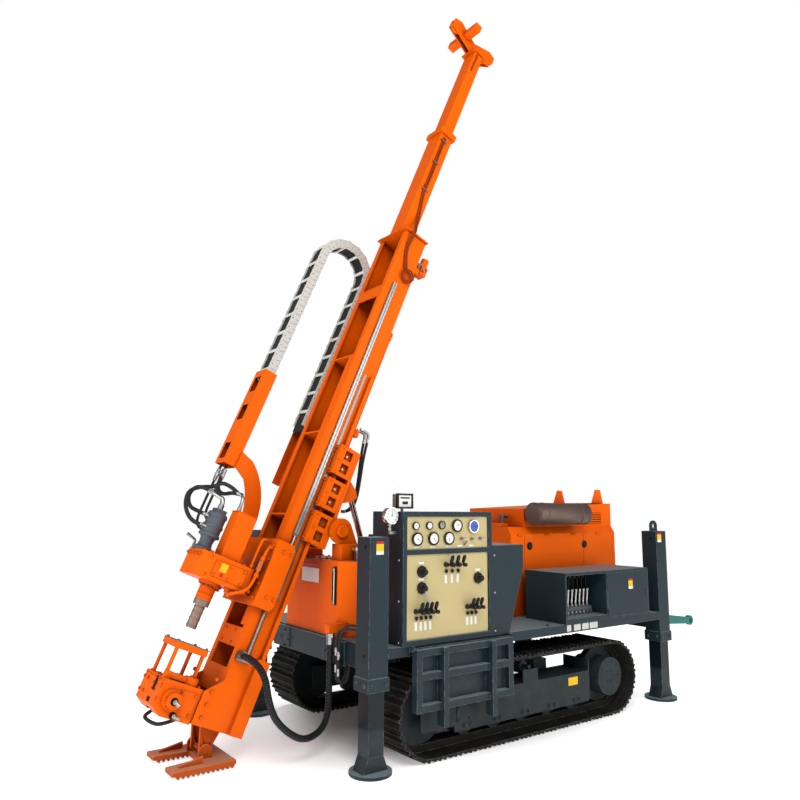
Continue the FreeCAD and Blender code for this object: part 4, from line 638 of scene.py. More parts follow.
@dataclass
class Hoses(Assembly):
    """Free hoses: the guarded bundle at the mast's root and two on the head."""

    root: tuple[Point, ...] = (
        (2.009, 0.257, 0.685), (2.009, 0.545, 0.685), (1.961, 0.555, 0.396), (1.833, 0.52, 0.253),
        (1.654, 0.47, 0.146), (1.468, 0.43, 0.21), (1.446, 0.41, 0.463), (1.44, 0.4, 0.7985))
    outer: tuple[Point, ...] = (
        (0.8, -0.372, 0.195), (0.8, -0.378, -0.07), (0.8, -0.372, -0.33),
        (0.796, -0.1065, -0.33))
    inner: tuple[Point, ...] = (
        (0.775, -0.335, 0.195), (0.775, -0.34, -0.03), (0.775, -0.335, -0.255),
        (0.784, -0.1065, -0.255))

    def parts(self) -> None:
        still = Matrix()
        root = pipe("root_hose_guarded", self.body, GUARD, self.root, 0.022, still)
        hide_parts("root_hose")
        self._declare(root, self.root, still, 0.044, "limp")
        nut = self.piece("root_hose_nut", ZINC, "bare_steel")
        nut.bar((1.44, 0.4, 0.7985), (1.44, 0.4, 0.772), 0.032, sides=6)
        nut.bar((1.44, 0.4, 0.772), (1.44, 0.4, 0.725), 0.0255)
        for name, route in (("outer", self.outer), ("inner", self.inner)):
            hose = pipe(f"head_hose_{name}_rubber", "rotation_head", RUBBER, route,
                        0.01, MAST)
            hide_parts(f"head_hose_{name}")
            self._declare(hose, route, MAST, 0.02, "medium")

    @staticmethod
    def _declare(thing: bpy.types.Object, route: Sequence[Point], frame: Matrix, diameter: float,
                 stiffness: str) -> None:
        """Args:
            thing: Curve of the hose.
            route: Corners of its route, from its exit on; not used.
            frame: Frame of the route; not used.
            diameter: Outer diameter in metres; not used.
        """
        curve = thing.data
        depth, curve.bevel_depth = curve.bevel_depth, 0.0
        bpy.context.view_layer.update()
        line = bpy.data.meshes.new_from_object(thing.evaluated_get(bpy.context.evaluated_depsgraph_get()))
        curve.bevel_depth = depth
        bpy.data.meshes.remove(line)


@dataclass
class Studio:
    """Camera, light and floor."""

    place: Point = (4.1, 4.755, 1.65)
    ahead: Point = (-0.5904, -0.7927, 0.1516)
    roll: float = math.radians(0.421)
    lens: float = 31.92
    # Name, place, watts and size of each soft lamp, then the spot that all look at
    lamps: tuple[tuple[str, Point, float, float], ...] = (
        ("key", (4.0, 6.4, 7.0), 360, 3.4), ("front", (7.5, 0.8, 2.4), 130, 3.6),
        ("fill", (-3.0, 7.5, 3.6), 210, 5.0), ("rim", (-3.0, -6.0, 7.0), 240, 4.0))
    target: Point = (0.3, 0, 1.4)

    def camera(self) -> None:
        """Puts the camera where the photograph was taken from."""
        data = bpy.data.cameras.new("camera")
        data.lens, data.sensor_width, data.sensor_fit = self.lens, 36.0, "HORIZONTAL"
        eye = add_object("camera", data)
        back = -Vector(self.ahead).normalized()
        right = Vector(UP).cross(back).normalized()
        up = back.cross(right)
        c, s = math.cos(self.roll), math.sin(self.roll)
        turn = Matrix((right * c + up * s, up * c - right * s, back)).transposed().to_4x4()
        eye.matrix_world = Matrix.Translation(self.place) @ turn
        bpy.context.scene.camera = eye

    def floor(self) -> None:
        """Lays a pale floor that turns to white away from the rig."""
        bm = bmesh.new()
        bmesh.ops.create_grid(bm, x_segments=1, y_segments=1, size=60.0)
        mesh = bpy.data.meshes.new("floor")
        bm.to_mesh(mesh)
        bm.free()
        floor = add_object("floor", mesh)
        floor.location = (0, 0, -0.0005)
        paint = bpy.data.materials.new("floor_paint")
        paint.use_nodes = True
        tree = paint.node_tree
        shader = tree.nodes["Principled BSDF"]
        shader.inputs["Base Color"].default_value = (0.93, 0.93, 0.93, 1)
        shader.inputs["Roughness"].default_value = 0.9
        shader.inputs["Emission Color"].default_value = (1, 1, 1, 1)
        spot = put(tree, "ShaderNodeTexCoord").outputs["Object"]
        near = put(tree, "ShaderNodeMapping", {"Vector": spot, "Scale": (1 / 1.5, 1 / 0.85, 1.0)})
        reach = put(tree, "ShaderNodeVectorMath", {0: near.outputs[0]}, operation="LENGTH")
        glow = spread(tree, reach.outputs["Value"], (0.75, 1.6), (0.0, 0.68),
                      interpolation_type="SMOOTHSTEP")
        tree.links.new(glow, shader.inputs["Emission Strength"])
        mesh.materials.append(paint)

    def light(self) -> None:
        """Sets an even white room and the soft lamps."""
        world = bpy.data.worlds.new("room")
        bpy.context.scene.world = world
        world.use_nodes = True
        tree = world.node_tree
        tree.nodes.clear()
        path = put(tree, "ShaderNodeLightPath")
        soft = spread(tree, path.outputs["Is Glossy Ray"], target=(0.36, 0.22))
        power = put(tree, "ShaderNodeMix", {
            "Factor": path.outputs["Is Camera Ray"], "A": soft, "B": 1.0}).outputs[0]
        back = put(tree, "ShaderNodeBackground", {"Color": (1, 1, 1, 1), "Strength": power})
        put(tree, "ShaderNodeOutputWorld", {"Surface": back.outputs[0]})
        for name, spot, watts, size in self.lamps:
            lamp = bpy.data.lights.new(name, "AREA")
            lamp.energy, lamp.size = watts, size
            thing = add_object(name, lamp)
            thing.location = spot
            away = Vector(spot) - Vector(self.target)
            thing.rotation_euler = away.to_track_quat("Z", "Y").to_euler()


@dataclass
class EnergyChain(Assembly):
    """Nylon energy chain link by link, with the hoses that it carries.

    Its middle line is a U: up from the bracket at foot, round a bend whose centre is at
    (middle, crest) on the mast, and down again over the length of fixed.
    """

    body: str = "energy_chain_body"
    slot: str = "chain_plastic"
    pitch: float = 0.088
    side: float = -0.35
    width: float = 0.16
    height: float = 0.084
    middle: float = 0.55
    crest: float = 2.17
    radius: float = 0.228
    foot: float = 0.965
    fixed: float = 1.47

    def place(self, run: float) -> Matrix:
        """Gives the frame of a link: X outwards of the U, Y across, Z along the run.

        Args:
            run: Distance along the middle line from the bracket.

        Returns:
            The frame in the world.
        """
        rise, arc = self.crest - self.foot, math.pi * self.radius
        angle = min(max(run - rise, 0.0), arc) / self.radius
        straight = min(run - rise, 0.0) - max(run - rise - arc, 0.0)
        up = self.crest + self.radius * math.sin(angle) + straight
        forward = self.middle + self.radius * math.cos(angle)
        return MAST @ Matrix.Translation((forward, self.side, up)) @ Matrix.Rotation(-angle, 4, "Y")

    def parts(self) -> None:
        """Makes the side plates with their round joints, the snap-on bars and the pins."""
        sides = self.piece("chain_links", NYLON, bevel=0.0012)
        bars = self.piece("chain_bars", WHITE, bevel=0.0015)
        pins = self.piece("chain_pins", BLACK, bevel=0)
        length = self.crest - self.foot + math.pi * self.radius + self.fixed
        for index in range(int(length / self.pitch)):
            sides.frame = bars.frame = pins.frame = self.place(self.pitch * (index + 0.5))
            for hand in SIDES:
                edge = hand * (self.width / 2 - 0.005)
                sides.bar((0, edge - 0.003, -0.03), (0, edge + 0.003, -0.03), self.height / 2, sides=14)
                sides.block((0, edge - hand * 0.005, 0.006), (self.height - 0.006, 0.005, self.pitch - 0.014))
                for across in (-0.022, 0.022):
                    pins.nut((across, edge + 0.0026, -0.03), (0, 0.0016, 0), 0.004, 8)
                if index % 2 == 0:
                    bars.block((hand * (self.height / 2 - 0.006), 0, 0.004),
                               (0.01, self.width - 0.022, 0.024))
        self.hoses()

    def hoses(self) -> None:
        """Fills the chain with hoses in two layers of four."""
        eighth = math.pi / 8
        for index in range(8):
            across = self.side - 0.054 + 0.036 * (index % 4)
            reach = self.radius + (0.0145 if index < 4 else -0.0145)
            corner, low = reach / math.cos(eighth), self.crest - reach * math.tan(eighth)
            bend = [(self.middle + corner * math.cos(step * eighth), across,
                     self.crest + corner * math.sin(step * eighth)) for step in (1, 3, 5, 7)]
            route = [(self.middle + reach, across, self.foot + 0.003), (self.middle + reach, across, low),
                     *bend, (self.middle - reach, across, low), (self.middle - reach, across, 0.703)]
            pipe(f"chain_hose_{index}", self.body, RUBBER, route, 0.0155, MAST)

    def build(self) -> dict[str, bpy.types.Object]:
        """Builds the chain and puts its links in the place of the solid chain.

        Returns:
            The finished pieces by name.
        """
        made = super().build()
        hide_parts("energy_chain")
        return made


@dataclass
class Console(Assembly):
    """Panel controls: gauges with glass, banks of levers, knobs, labels and screws."""

    face: float = 0.906
    # Place across and up, radius and depth of each gauge in the panel
    dials: tuple[tuple[float, float, float, float], ...] = (
        (1.097, 1.536, 0.026, 0.014), (0.98, 1.537, 0.026, 0.014), (0.865, 1.54, 0.028, 0.01),
        (0.728, 1.535, 0.043, 0.016), (0.574, 1.529, 0.046, 0.018), (1.085, 1.448, 0.043, 0.016),
        (0.944, 1.449, 0.043, 0.016), (0.804, 1.449, 0.043, 0.016))
    faceless: int = 2
    blue_dial: int = 4
    front: Point = (1.268, 0.87, 1.604)
    indicator: Point = (1.1385, 0.842, 1.703)
    # First and last lever, their number and their height
    banks: tuple[tuple[float, float, int, float], ...] = (
        (0.719, 0.828, 3, 1.27), (0.968, 1.09, 4, 0.974), (0.554, 0.632, 3, 0.974))
    knobs: tuple[tuple[float, float], ...] = ((1.043, 1.231), (1.043, 1.124), (0.529, 1.166))

    def gauges(self) -> None:
        """Rings, white faces and pointers of the gauges, and the square indicator."""
        rings = self.piece("gauge_rings", BLACK)
        bright = self.piece("gauge_bright_rings", CHROME)
        faces = self.piece("gauge_faces", WHITE, bevel=0)
        marks = self.piece("gauge_pointers", BLACK, bevel=0)
        blue = self.piece("gauge_blue_face", BLUE, bevel=0)
        for number, (x, z, r, deep) in enumerate(self.dials):
            y, special = self.face + deep, number == self.blue_dial
            (bright if special else rings).lathe((x, y - 0.004, z), LEFT, (
                (r * 0.8, 0.003), (r * 0.84, 0.008), (r * 1.02, 0.008), (r * 1.06, 0.003),
                (r * 1.06, -0.004), (r, -0.006)), 36)
            if number != self.faceless:
                (blue if special else faces).bar((x, y, z), (x, y + 0.0012, z), r * 0.8, sides=32)
            self._ticks(marks, (x, y + 0.0012, z), r * 0.8, number * 0.6)
        x, y, z = self.front
        bright.lathe(self.front, LEFT, (
            (0.046, 0.0), (0.047, 0.009), (0.056, 0.009), (0.059, 0.004), (0.059, -0.03),
            (0.055, -0.034)), 40)
        faces.bar((x, y + 0.0015, z), (x, y + 0.0035, z), 0.046, sides=40)
        self._ticks(marks, (x, y + 0.0035, z), 0.046, 1.2)
        bright.nut((x, 0.85, 1.536), (0, 0, 0.016), 0.013)
        bright.nut((x, 0.85, 1.506), (0, 0, 0.018), 0.012)
        frame = self.piece("indicator_frame", BLACK, bevel=0.002)
        x, y, z = self.indicator
        for hand in SIDES:
            frame.block((x, y, z + 0.0455 * hand), (0.131, 0.022, 0.01))
            frame.block((x + 0.0605 * hand, y, z), (0.01, 0.022, 0.101))
        faces.block((x, 0.8462, z), (0.104, 0.0016, 0.074))
        marks.block((x, 0.8474, 1.724), (0.08, 0.001, 0.01))
        marks.block((x, 0.8474, 1.69), (0.046, 0.001, 0.02))

    @staticmethod
    def _ticks(marks: Piece, at: Point, radius: float, turn: float) -> None:
        """Adds scale marks, pointer and hub of a gauge that faces +Y.

        Args:
            marks: Piece that takes them.
            at: Middle of the gauge's face.
            radius: Radius of the face.
            turn: Turn of the pointer in radians.
        """
        x, y, z = at
        for step in range(9):
            angle = math.radians(-40 + 32.5 * step)
            spot = (x + math.cos(angle) * radius * 0.8, y + 0.0002, z + math.sin(angle) * radius * 0.8)
            marks.block(spot, (radius * 0.18, 0.0006, radius * 0.05), Matrix.Rotation(-angle, 4, "Y"))
        angle = math.radians(35) + turn
        middle = (x + math.cos(angle) * radius * 0.3, y + 0.0008, z + math.sin(angle) * radius * 0.3)
        marks.block(middle, (radius * 0.78, 0.0008, radius * 0.06), Matrix.Rotation(-angle, 4, "Y"))
        marks.bar(at, (x, y + 0.002, z), radius * 0.1, sides=12)

    def levers(self) -> None:
        """Black paddle handles, joint boots, turning knobs, switches and blank labels."""
        face = self.face
        grips = self.piece("lever_grips", BLACK, bevel=0.003)
        boots = self.piece("lever_boots", RUBBER)
        labels = self.piece("blank_labels", WHITE, bevel=0)
        shafts = self.piece("lever_shafts", ZINC, bevel=0.0005)
        for near, far, count, z in self.banks:
            for x in (near + (far - near) * index / (count - 1) for index in range(count)):
                boots.lathe((x, face, z), LEFT, (
                    (0.018, 0), (0.018, 0.006), (0.014, 0.012), (0.015, 0.018), (0.011, 0.024),
                    (0.012, 0.03), (0.008, 0.038)), 16)
                grips.lathe((x, face + 0.058, z + 0.012), (0.0, 0.45, 1.0), (
                    (0.0, -0.004), (0.01, 0.0), (0.012, 0.02), (0.013, 0.044), (0.009, 0.056),
                    (0.0, 0.06)), 14)
                grips.lathe((x, face + 0.01, z - 0.03), DOWN, (
                    (0.0, 0.0), (0.01, 0.004), (0.011, 0.022), (0.0, 0.03)), 14)
                labels.block((x, face + 0.0012, z - 0.098), (0.02, 0.002, 0.056))
        for x, z in self.knobs:
            grips.lathe((x, face + 0.012, z), LEFT, (
                (0.038, -0.01), (0.038, 0.002), (0.032, 0.009), (0.02, 0.011), (0.019, 0.04),
                (0.014, 0.046), (0.0, 0.047)), 24)
            for dx, dz, angle in around(0.036, 8):
                grips.block((x + dx, face + 0.009, z + dz), (0.01, 0.014, 0.01),
                            Matrix.Rotation(-angle, 4, "Y"))
            labels.block((x, face + 0.0012, z + 0.056), (0.046, 0.002, 0.016))
        for x, z in ((0.685, 1.444), (0.586, 1.441), (0.505, 1.443)):
            shafts.bar((x, face + 0.004, z), (x, face + 0.01, z), 0.013, sides=6)
            shafts.bar((x, face + 0.022, z), (x - 0.024, face + 0.03, z + 0.004), 0.006, 0.004)
        shafts.bar((1.043, 0.952, 1.115), (1.03, 0.962, 1.036), 0.007, 0.009, sides=12)
        shafts.bar((0.656, face, 1.4), (0.656, face + 0.03, 1.424), 0.005, 0.007, sides=12)
        for x in (1.085, 0.944, 0.804, 0.7, 0.59):
            labels.block((x, face + 0.0012, 1.394), (0.044, 0.002, 0.01))

    def screws(self) -> None:
        """Screws that hold the two panels and the side sheets."""
        screws = self.piece("console_screws", ZINC, bevel=0.0004, segments=1)
        for x, z in product((0.442, 0.8, 1.158), (0.806, 1.332, 1.408, 1.585)):
            screws.lathe((x, self.face, z), LEFT, ((0.007, 0), (0.006, 0.003), (0.0, 0.004)), 12)
        for z in (0.787, 1.053, 1.319):
            for spot, axis in (((0.372, 0.92, z), LEFT), ((1.207, 0.87, z - 0.01), AHEAD),
                               ((1.207, 0.61, z - 0.01), AHEAD)):
                screws.lathe(spot, axis, ((0.008, 0), (0.006, 0.004), (0.0, 0.005)), 12)

    def parts(self) -> None:
        """Starts the console's pieces."""
        self.gauges()
        self.levers()
        self.screws()


@dataclass
class Chassis(Assembly):
    """Jack plates and bolts, couplings, deck strips, boxes, tank, hood and tracks."""

    jack_rows: tuple[float, float] = (1.385, -1.75)
    jack_side: float = 0.825
    # Left face of each blank safety plate, and the size of a plate
    plates: tuple[Point, ...] = (
        (1.382, 0.9002, 1.396), (-1.724, 0.9002, 1.41), (1.382, -0.9018, 1.396),
        (-1.724, -0.9018, 1.41), (-1.238, 0.9232, 1.029))
    plate_size: tuple[float, float] = (0.058, 0.086)
    sight: tuple[float, float] = (1.379, 0.34)
    cap: tuple[float, float] = (1.21, 0.415)
    muffler: tuple[float, float] = (0.47, 1.615)

    def jacks(self) -> None:
        """Bolts, lifting-ear caps, painted shade discs for the hose ports, and blank plates of the jacks."""
        bolts = self.piece("jack_bolts", SLATE, **FINE)
        shade = self.piece("jack_port_shade", SHADE, bevel=0)
        for x, hand in product(self.jack_rows, SIDES):
            y = self.jack_side * hand
            bolts.bolts([(x + d, y + 0.084 * hand, 0.542) for d in (-0.055, 0.055)], (0, hand, 0), 0.018)
            bolts.bolts([(x + 0.084, y + d, 0.542) for d in (-0.045, 0.045)], AHEAD, 0.018)
            # painted shade: thin black discs stand in for the dark hose ports
            for z in (1.4, 0.72):
                shade.nut((x + 0.0745, y + 0.02, z), (0.002, 0, 0), 0.013, 20)
            if x > 0:
                bolts.lathe((x, y - 0.03 * hand, 1.466), UP, (
                    (0.016, 0), (0.016, 0.012), (0.011, 0.016), (0.0, 0.018)), 16)
        wide, tall = self.plate_size
        for name, finish, middle, share in (
                ("red", RED, 0.4, 0.2), ("yellow", YELLOW, 0.03, 0.54), ("white", WHITE, -0.365, 0.25)):
            plate = self.piece(f"jack_plates_{name}", finish, **FLAT)
            for x, y, z in self.plates:
                plate.block((x, y + 0.0008, z + middle * tall), (wide, 0.0016, share * tall))

    def front_lines(self) -> None:
        """Quick couplings on the front beam with the hoses to the front jack."""
        zinc = self.piece("front_couplings", ZINC)
        blocks = self.piece("front_coupling_clamps", BLACK, bevel=0.002)
        for index, (y, top) in enumerate(((0.462, 0.712), (0.496, 0.69))):
            for drop, length, radius, sides in (
                    (0, 0.052, 0.0115, 16), (0.014, 0.018, 0.015, 6), (0.11, 0.05, 0.0115, 16)):
                zinc.nut((1.43, y, top - drop), (0, 0, -length), radius, sides)
            blocks.block((1.424, y, top - 0.081), (0.03, 0.03, 0.056))
            rise = 0.026 * index
            self.line(f"front_line_{index}", RUBBER, (
                (1.43, y, top), (1.43, y + 0.004, top + 0.09), (1.432, y + 0.07, 0.84 + rise),
                (1.4, 0.64, 0.85 + rise), (1.38, 0.742, 0.852 + rise)), 0.009)
            self.line(f"front_line_low_{index}", RUBBER, (
                (1.43, y, top - 0.16), (1.428, y, 0.5), (1.392, y, 0.48), (1.352, y, 0.5),
                (1.34, y, 0.6)), 0.009)

    def boxes(self) -> None:
        """Door and hinges of the valve box, and its spool valve with the levers."""
        door = self.piece("valve_box_door", SLATE, bevel=0.002)
        door.block((-1.208, 0.9215, 0.955), (0.56, 0.003, 0.36))
        door.block((-1.47, 0.926, 0.955), (0.014, 0.008, 0.07))
        for z in (0.795, 1.065):
            door.nut((-0.925, 0.924, z), (0, 0, 0.05), 0.006, 24)
        valve = self.piece("spool_valve", IRON, bevel=0.003)
        valve.block((-0.7, 0.73, 0.828), (0.4, 0.09, 0.06))
        fittings = self.piece("spool_fittings", ZINC)
        sticks = self.piece("spool_sticks", WHITE)
        for x in (-0.855 + index * 0.0485 for index in range(8)):
            valve.block((x, 0.73, 0.862), (0.034, 0.074, 0.012))
            fittings.nut((x, 0.785, 0.822), (0, 0.021, 0), 0.011)
            fittings.bar((x, 0.757, 0.866), (x, 0.757, 0.892), 0.01, 0.008, sides=12)
            sticks.bar((x, 0.757, 0.89), (x, 0.768, 0.99), 0.0065, 0.0055, sides=12)
            sticks.ball((x, 0.768, 0.992), 0.009)

    def deck(self) -> None:
        """Strips on the deck's edge and bolts along it."""
        strips = self.piece("deck_strips", NYLON, bevel=0.0006, segments=1)
        for x, wide in ((-0.446, 0.05), (-0.545, 0.08), (-0.645, 0.08), (-0.748, 0.1)):
            strips.block((x, 0.9065, 0.728), (wide, 0.003, 0.048))
        deck = self.piece("deck_bolts", SLATE, **FINE)
        for index, y in product(range(7), (0.86, -0.86)):
            x = -0.25 - 0.22 * index
            under_box = y > 0 and -1.52 < x < -0.38
            if not under_box:
                deck.bolt((x, y, 0.758), UP, 0.022)
        for y in (-0.33, 0.33):
            deck.ring_of_bolts((1.4101, y, 0.665), AHEAD, 0.058, 4, 0.02)

    def tank(self) -> None:
        """Sight gauge, lid bolts, filler cap rings and blank plates of the oil tank."""
        bright = self.piece("tank_bright", ZINC, "orange_paint")
        glass = self.piece("tank_sight_glass", WHITE, "orange_paint")
        guard = self.piece("tank_gauge_guard", BLACK, "orange_paint", bevel=0.0015)
        x, y = self.sight
        for z in (0.985, 1.205):
            bright.nut((x, y, z), (0, 0, 0.025), 0.014, 12)
        glass.bar((x, y, 1.01), (x, y, 1.205), 0.008, sides=16)
        guard.block((1.3735, y, 1.1075), (0.006, 0.034, 0.262))
        for dy in (-0.0155, 0.0155):
            guard.block((1.381, y + dy, 1.1075), (0.016, 0.005, 0.25))
        x, y = self.cap
        bright.lathe((x, y, 1.368), UP, (
            (0.0, 0.01), (0.04, 0.01), (0.05, 0.004), (0.058, 0.002), (0.058, -0.012),
            (0.055, -0.02)))
        for dx, dy, angle in around(0.058, 20):
            bright.block((x + dx, y + dy, 1.3615), (0.005, 0.006, 0.014), Matrix.Rotation(angle, 4, "Z"))
        lid = self.piece("tank_lid", ORANGE, "orange_paint", bevel=0.002)
        lid.block((1.25, -0.02, 1.281), (0.17, 0.33, 0.006))
        lid.bolts(product((1.182, 1.318), (-0.165, -0.07, 0.03, 0.125), (1.284,)), UP, 0.016)
        for name, finish, z, tall in (("head", RED, 1.225, 0.032), ("field", WHITE, 1.1585, 0.101)):
            plate = self.piece(f"tank_plate_{name}", finish, "orange_paint", **FLAT)
            plate.block((1.3708, -0.02, z), (0.0016, 0.25, tall))

    def hood(self) -> None:
        """Door locks, hinges, service pipes, muffler bands and the box under the muffler."""
        locks = self.piece("hood_locks", BLACK, "orange_paint")
        hinges = self.piece("hood_hinges", ORANGE, "orange_paint")
        for hand in SIDES:
            for x in (-0.571, -1.304):
                locks.lathe((x, 0.388 * hand, 1.339), (0, hand, 0), (
                    (0.034, 0), (0.034, 0.004), (0.029, 0.007), (0.024, 0.004), (0.0, 0.004)), 28)
                locks.block((x, 0.394 * hand, 1.339), (0.036, 0.008, 0.01))
            for x in (-0.45, -0.8, -1.15, -1.5):
                hinges.bar((x - 0.03, 0.392 * hand, 1.432), (x + 0.03, 0.392 * hand, 1.432), 0.007)
        bands = self.piece("muffler_bands", HEAT, "muffler_steel", bevel=0.0015)
        for x in (-0.545, -0.64, -1.1, -1.198):
            bands.lathe((x, *self.muffler), AHEAD, (
                (0.095, -0.01), (0.099, -0.008), (0.099, 0.008), (0.095, 0.01)), 40)
        bands.lathe((-0.532, *self.muffler), AHEAD, (
            (0.088, 0.0), (0.084, 0.006), (0.07, 0.003), (0.0, 0.003)), 40)
        posts = self.piece("service_posts", IRON, "muffler_steel")
        for x, y, top in ((-0.43, 0.2, 1.605), (-0.5, 0.1, 1.6)):
            posts.bar((x, y, 1.5), (x, y, top), 0.008)
            posts.bar((x, y, top - 0.02), (x, y, top + 0.006), 0.014, sides=12)
            posts.bar((x, y, 1.5), (x, y, 1.512), 0.024)
        self.line("service_line", RUBBER, (
            (-0.43, 0.2, 1.597), (-0.48, 0.24, 1.59), (-0.5, 0.16, 1.575), (-0.5, 0.1, 1.595)),
            0.006, "muffler_steel")
        duct = self.piece("exhaust_box", ORANGE, "orange_paint", bevel=0.003)
        duct.block((-0.395, 0.05, 1.515), (0.1, 0.42, 0.03))
        duct.bolts(product((-0.395,), (-0.12, 0.0, 0.12, 0.24), (1.53,)), UP, 0.014)

    def tracks(self) -> None:
        """Roller and hub bolts, tension covers, carrier roller brackets and blank arrow plates."""
        dark = self.piece("track_frame_bolts", FRAME_DARK, "dark_frame", **FINE)
        arrows = self.piece("track_blank_plates", YELLOW, "dark_frame", **FLAT)
        rollers = [-0.58 + 0.29 * index for index in range(5)]
        dark.side_bolts([(x + dx, 0.85, 0.165) for x in rollers for dx in (-0.03, 0.03)], 0.022)
        dark.side_bolts(product((0.57, 0.67), (0.857,), (0.21, 0.29)), 0.016)
        for hand in SIDES:
            dark.block((0.62, 0.853 * hand, 0.25), (0.13, 0.008, 0.11))
            for x in (-0.15, 0.45):
                dark.block((x, 0.735 * hand, 0.395), (0.09, 0.09, 0.06))
            for side, radius, count, across in ((0.862, 0.115, 10, 0.02), (0.866, 0.045, 6, 0.014)):
                dark.ring_of_bolts((-0.982, side * hand, 0.294), (0, hand, 0), radius, count, across)
            arrows.block((-0.542, 0.8508 * hand, 0.308), (0.11, 0.0016, 0.06))

    def parts(self) -> None:
        """Starts the pieces of the chassis."""
        self.jacks()
        self.front_lines()
        self.boxes()
        self.deck()
        self.tank()
        self.hood()
        self.tracks()


@dataclass
class OnMast(Assembly):
    """An assembly in the mast's frame."""

    body: str = "mast"
    slot: str = "orange_paint"
    frame: Matrix = field(default_factory=MAST.copy)


@dataclass
class MastLooks(OnMast):
    """Feed chain, wear strip, bolts, slide cylinder hoses, feed motor and jib lines."""

    near: float = 0.19
    chain: float = 0.29
    pitch: float = 0.044
    cylinder_ports: tuple[float, float] = (0.088, 0.138)

    def feed_chain(self) -> None:
        """Two-strand roller chain along the near side of the mast, and the wear strip beside it."""
        plates = self.piece("feed_chain_plates", ZINC, "bare_steel", **FLAT)
        for index, strand in product(range(int(2.2 / self.pitch)), (-0.0105, 0.0105)):
            w, u = self.chain + strand, -0.135 + self.pitch * index
            plates.nut((w, self.near + 0.012, u), (0, 0.0065, 0), 0.0085, 8)
            plates.block((w, self.near + 0.015, u + self.pitch / 2), (0.009, 0.004, self.pitch * 0.7))
        strip = self.piece("mast_wear_strip", STEEL, "bare_steel")
        strip.block((0.232, self.near + 0.0018, 0.3), (0.022, 0.0036, 1.82))

    def bolts(self) -> None:
        """Bolt rows of the guide clamps, cap plates, crown and foot plates."""
        frame = self.piece("slide_frame_bolts", ORANGE, body="slide_frame_body", **FINE)
        bright = self.piece("clamp_set_screws", ZINC, body="slide_frame_body", **FINE)
        for middle in (-0.05, 0.215, 0.48):
            rows = [middle + du for du in (-0.098, 0.0, 0.098)]
            frame.side_bolts(product((0.215,), (0.2585,), rows), 0.018)
            frame.bolts(product((0.236,), (-0.226, 0.226), (middle - 0.09, middle + 0.09)), AHEAD, 0.018)
            bright.side_bolts(product((0.145,), (0.226,), (middle - 0.052, middle + 0.052)), 0.016)
        for hand in SIDES:
            frame.lathe((0, 0.318 * hand, 0), (0, hand, 0), (
                (0.046, 0), (0.046, 0.006), (0.036, 0.01), (0.03, 0.008), (0.0, 0.008)))
        mast = self.piece("mast_bolts", ORANGE, **FINE)
        mast.bolts(product((0.18, 0.265, 0.35), (-self.near, self.near), (2.577,)), UP, 0.022)
        mast.bolts(product((0.401,), (-0.15, 0.15), (2.571,)), AHEAD, 0.008)
        mast.side_bolts(product((0.43,), (self.near,), (-1.44, -1.36, -1.28, -1.2)), 0.02)

    def front_plates(self) -> None:
        """Wide inner flange along the lower channel, cross plate and the slide cylinder's hoses."""
        liner = self.piece("mast_inner_flange", ORANGE, bevel=0.002)
        liner.block((0.366, 0.1135, 0.245), (0.011, 0.057, 2.15))
        liner.block((0.366, 0.0, -0.915), (0.009, 0.284, 0.13))
        liner.bar((0.366, 0.1135, 1.32), (0.366, 0.1135, 1.3185), 0.006)
        liner.bolts(product((0.3705,), (-0.1, 0.05), (-0.955, -0.875)), AHEAD, 0.014)
        nuts = self.piece("slide_hose_nuts", ZINC, "bare_steel", "slide_frame_body")
        for index, y in enumerate(self.cylinder_ports):
            low = y * 0.5
            self.line(f"slide_hose_{index}", RUBBER, (
                (-0.03, y, 0.742), (-0.06, y * 0.8, 0.64), (-0.125, y * 0.55, 0.475),
                (-0.16, low, 0.33), (-0.15, low, 0.215), (-0.086, low, 0.19)), 0.011,
                body="slide_frame_body")
            self.line(f"slide_elbow_{index}", ZINC, (
                (0.068, y, 0.815), (0.01, y, 0.815), (-0.012, y, 0.812), (-0.024, y, 0.78),
                (-0.03, y, 0.742)), 0.0115, "bare_steel", "slide_frame_body")
            for start, end in (
                    ((0.07, y, 0.815), (0.044, y, 0.815)), ((-0.028, y, 0.77), (-0.032, y, 0.742)),
                    ((-0.085, low, 0.19), (-0.1, low, 0.193))):
                nuts.bar(start, end, 0.0135, sides=6)

    def feed_motor(self) -> None:
        """Coiled line, brake housing and fittings at the feed motor."""
        coil = self.piece("feed_motor_rings", OVERSPRAY)
        for y, r in ((0.204, 0.05), (0.218, 0.056), (0.232, 0.052)):
            coil.lathe((0.218, y, 2.172), LEFT, (
                (r - 0.006, 0), (r, -0.006), (r + 0.006, 0), (r, 0.006), (r - 0.006, 0)), 28)
        shell = self.piece("feed_motor_shell", ORANGE, bevel=0.002)
        shell.block((0.075, 0.15, 2.33), (0.062, 0.09, 0.09))
        shell.bar((0.075, 0.15, 2.375), (0.075, 0.15, 2.455), 0.034)
        shell.bar((0.112, 0.15, 2.3), (0.15, 0.15, 2.3), 0.04)
        shell.ring_of_bolts((0.075, 0.15, 2.455), UP, 0.024, 4, 0.01)
        fittings = self.piece("feed_motor_fittings", ZINC)
        for w, u in ((0.062, 2.345), (0.09, 2.32)):
            fittings.nut((w, 0.196, u), (0, 0.026, 0), 0.01)

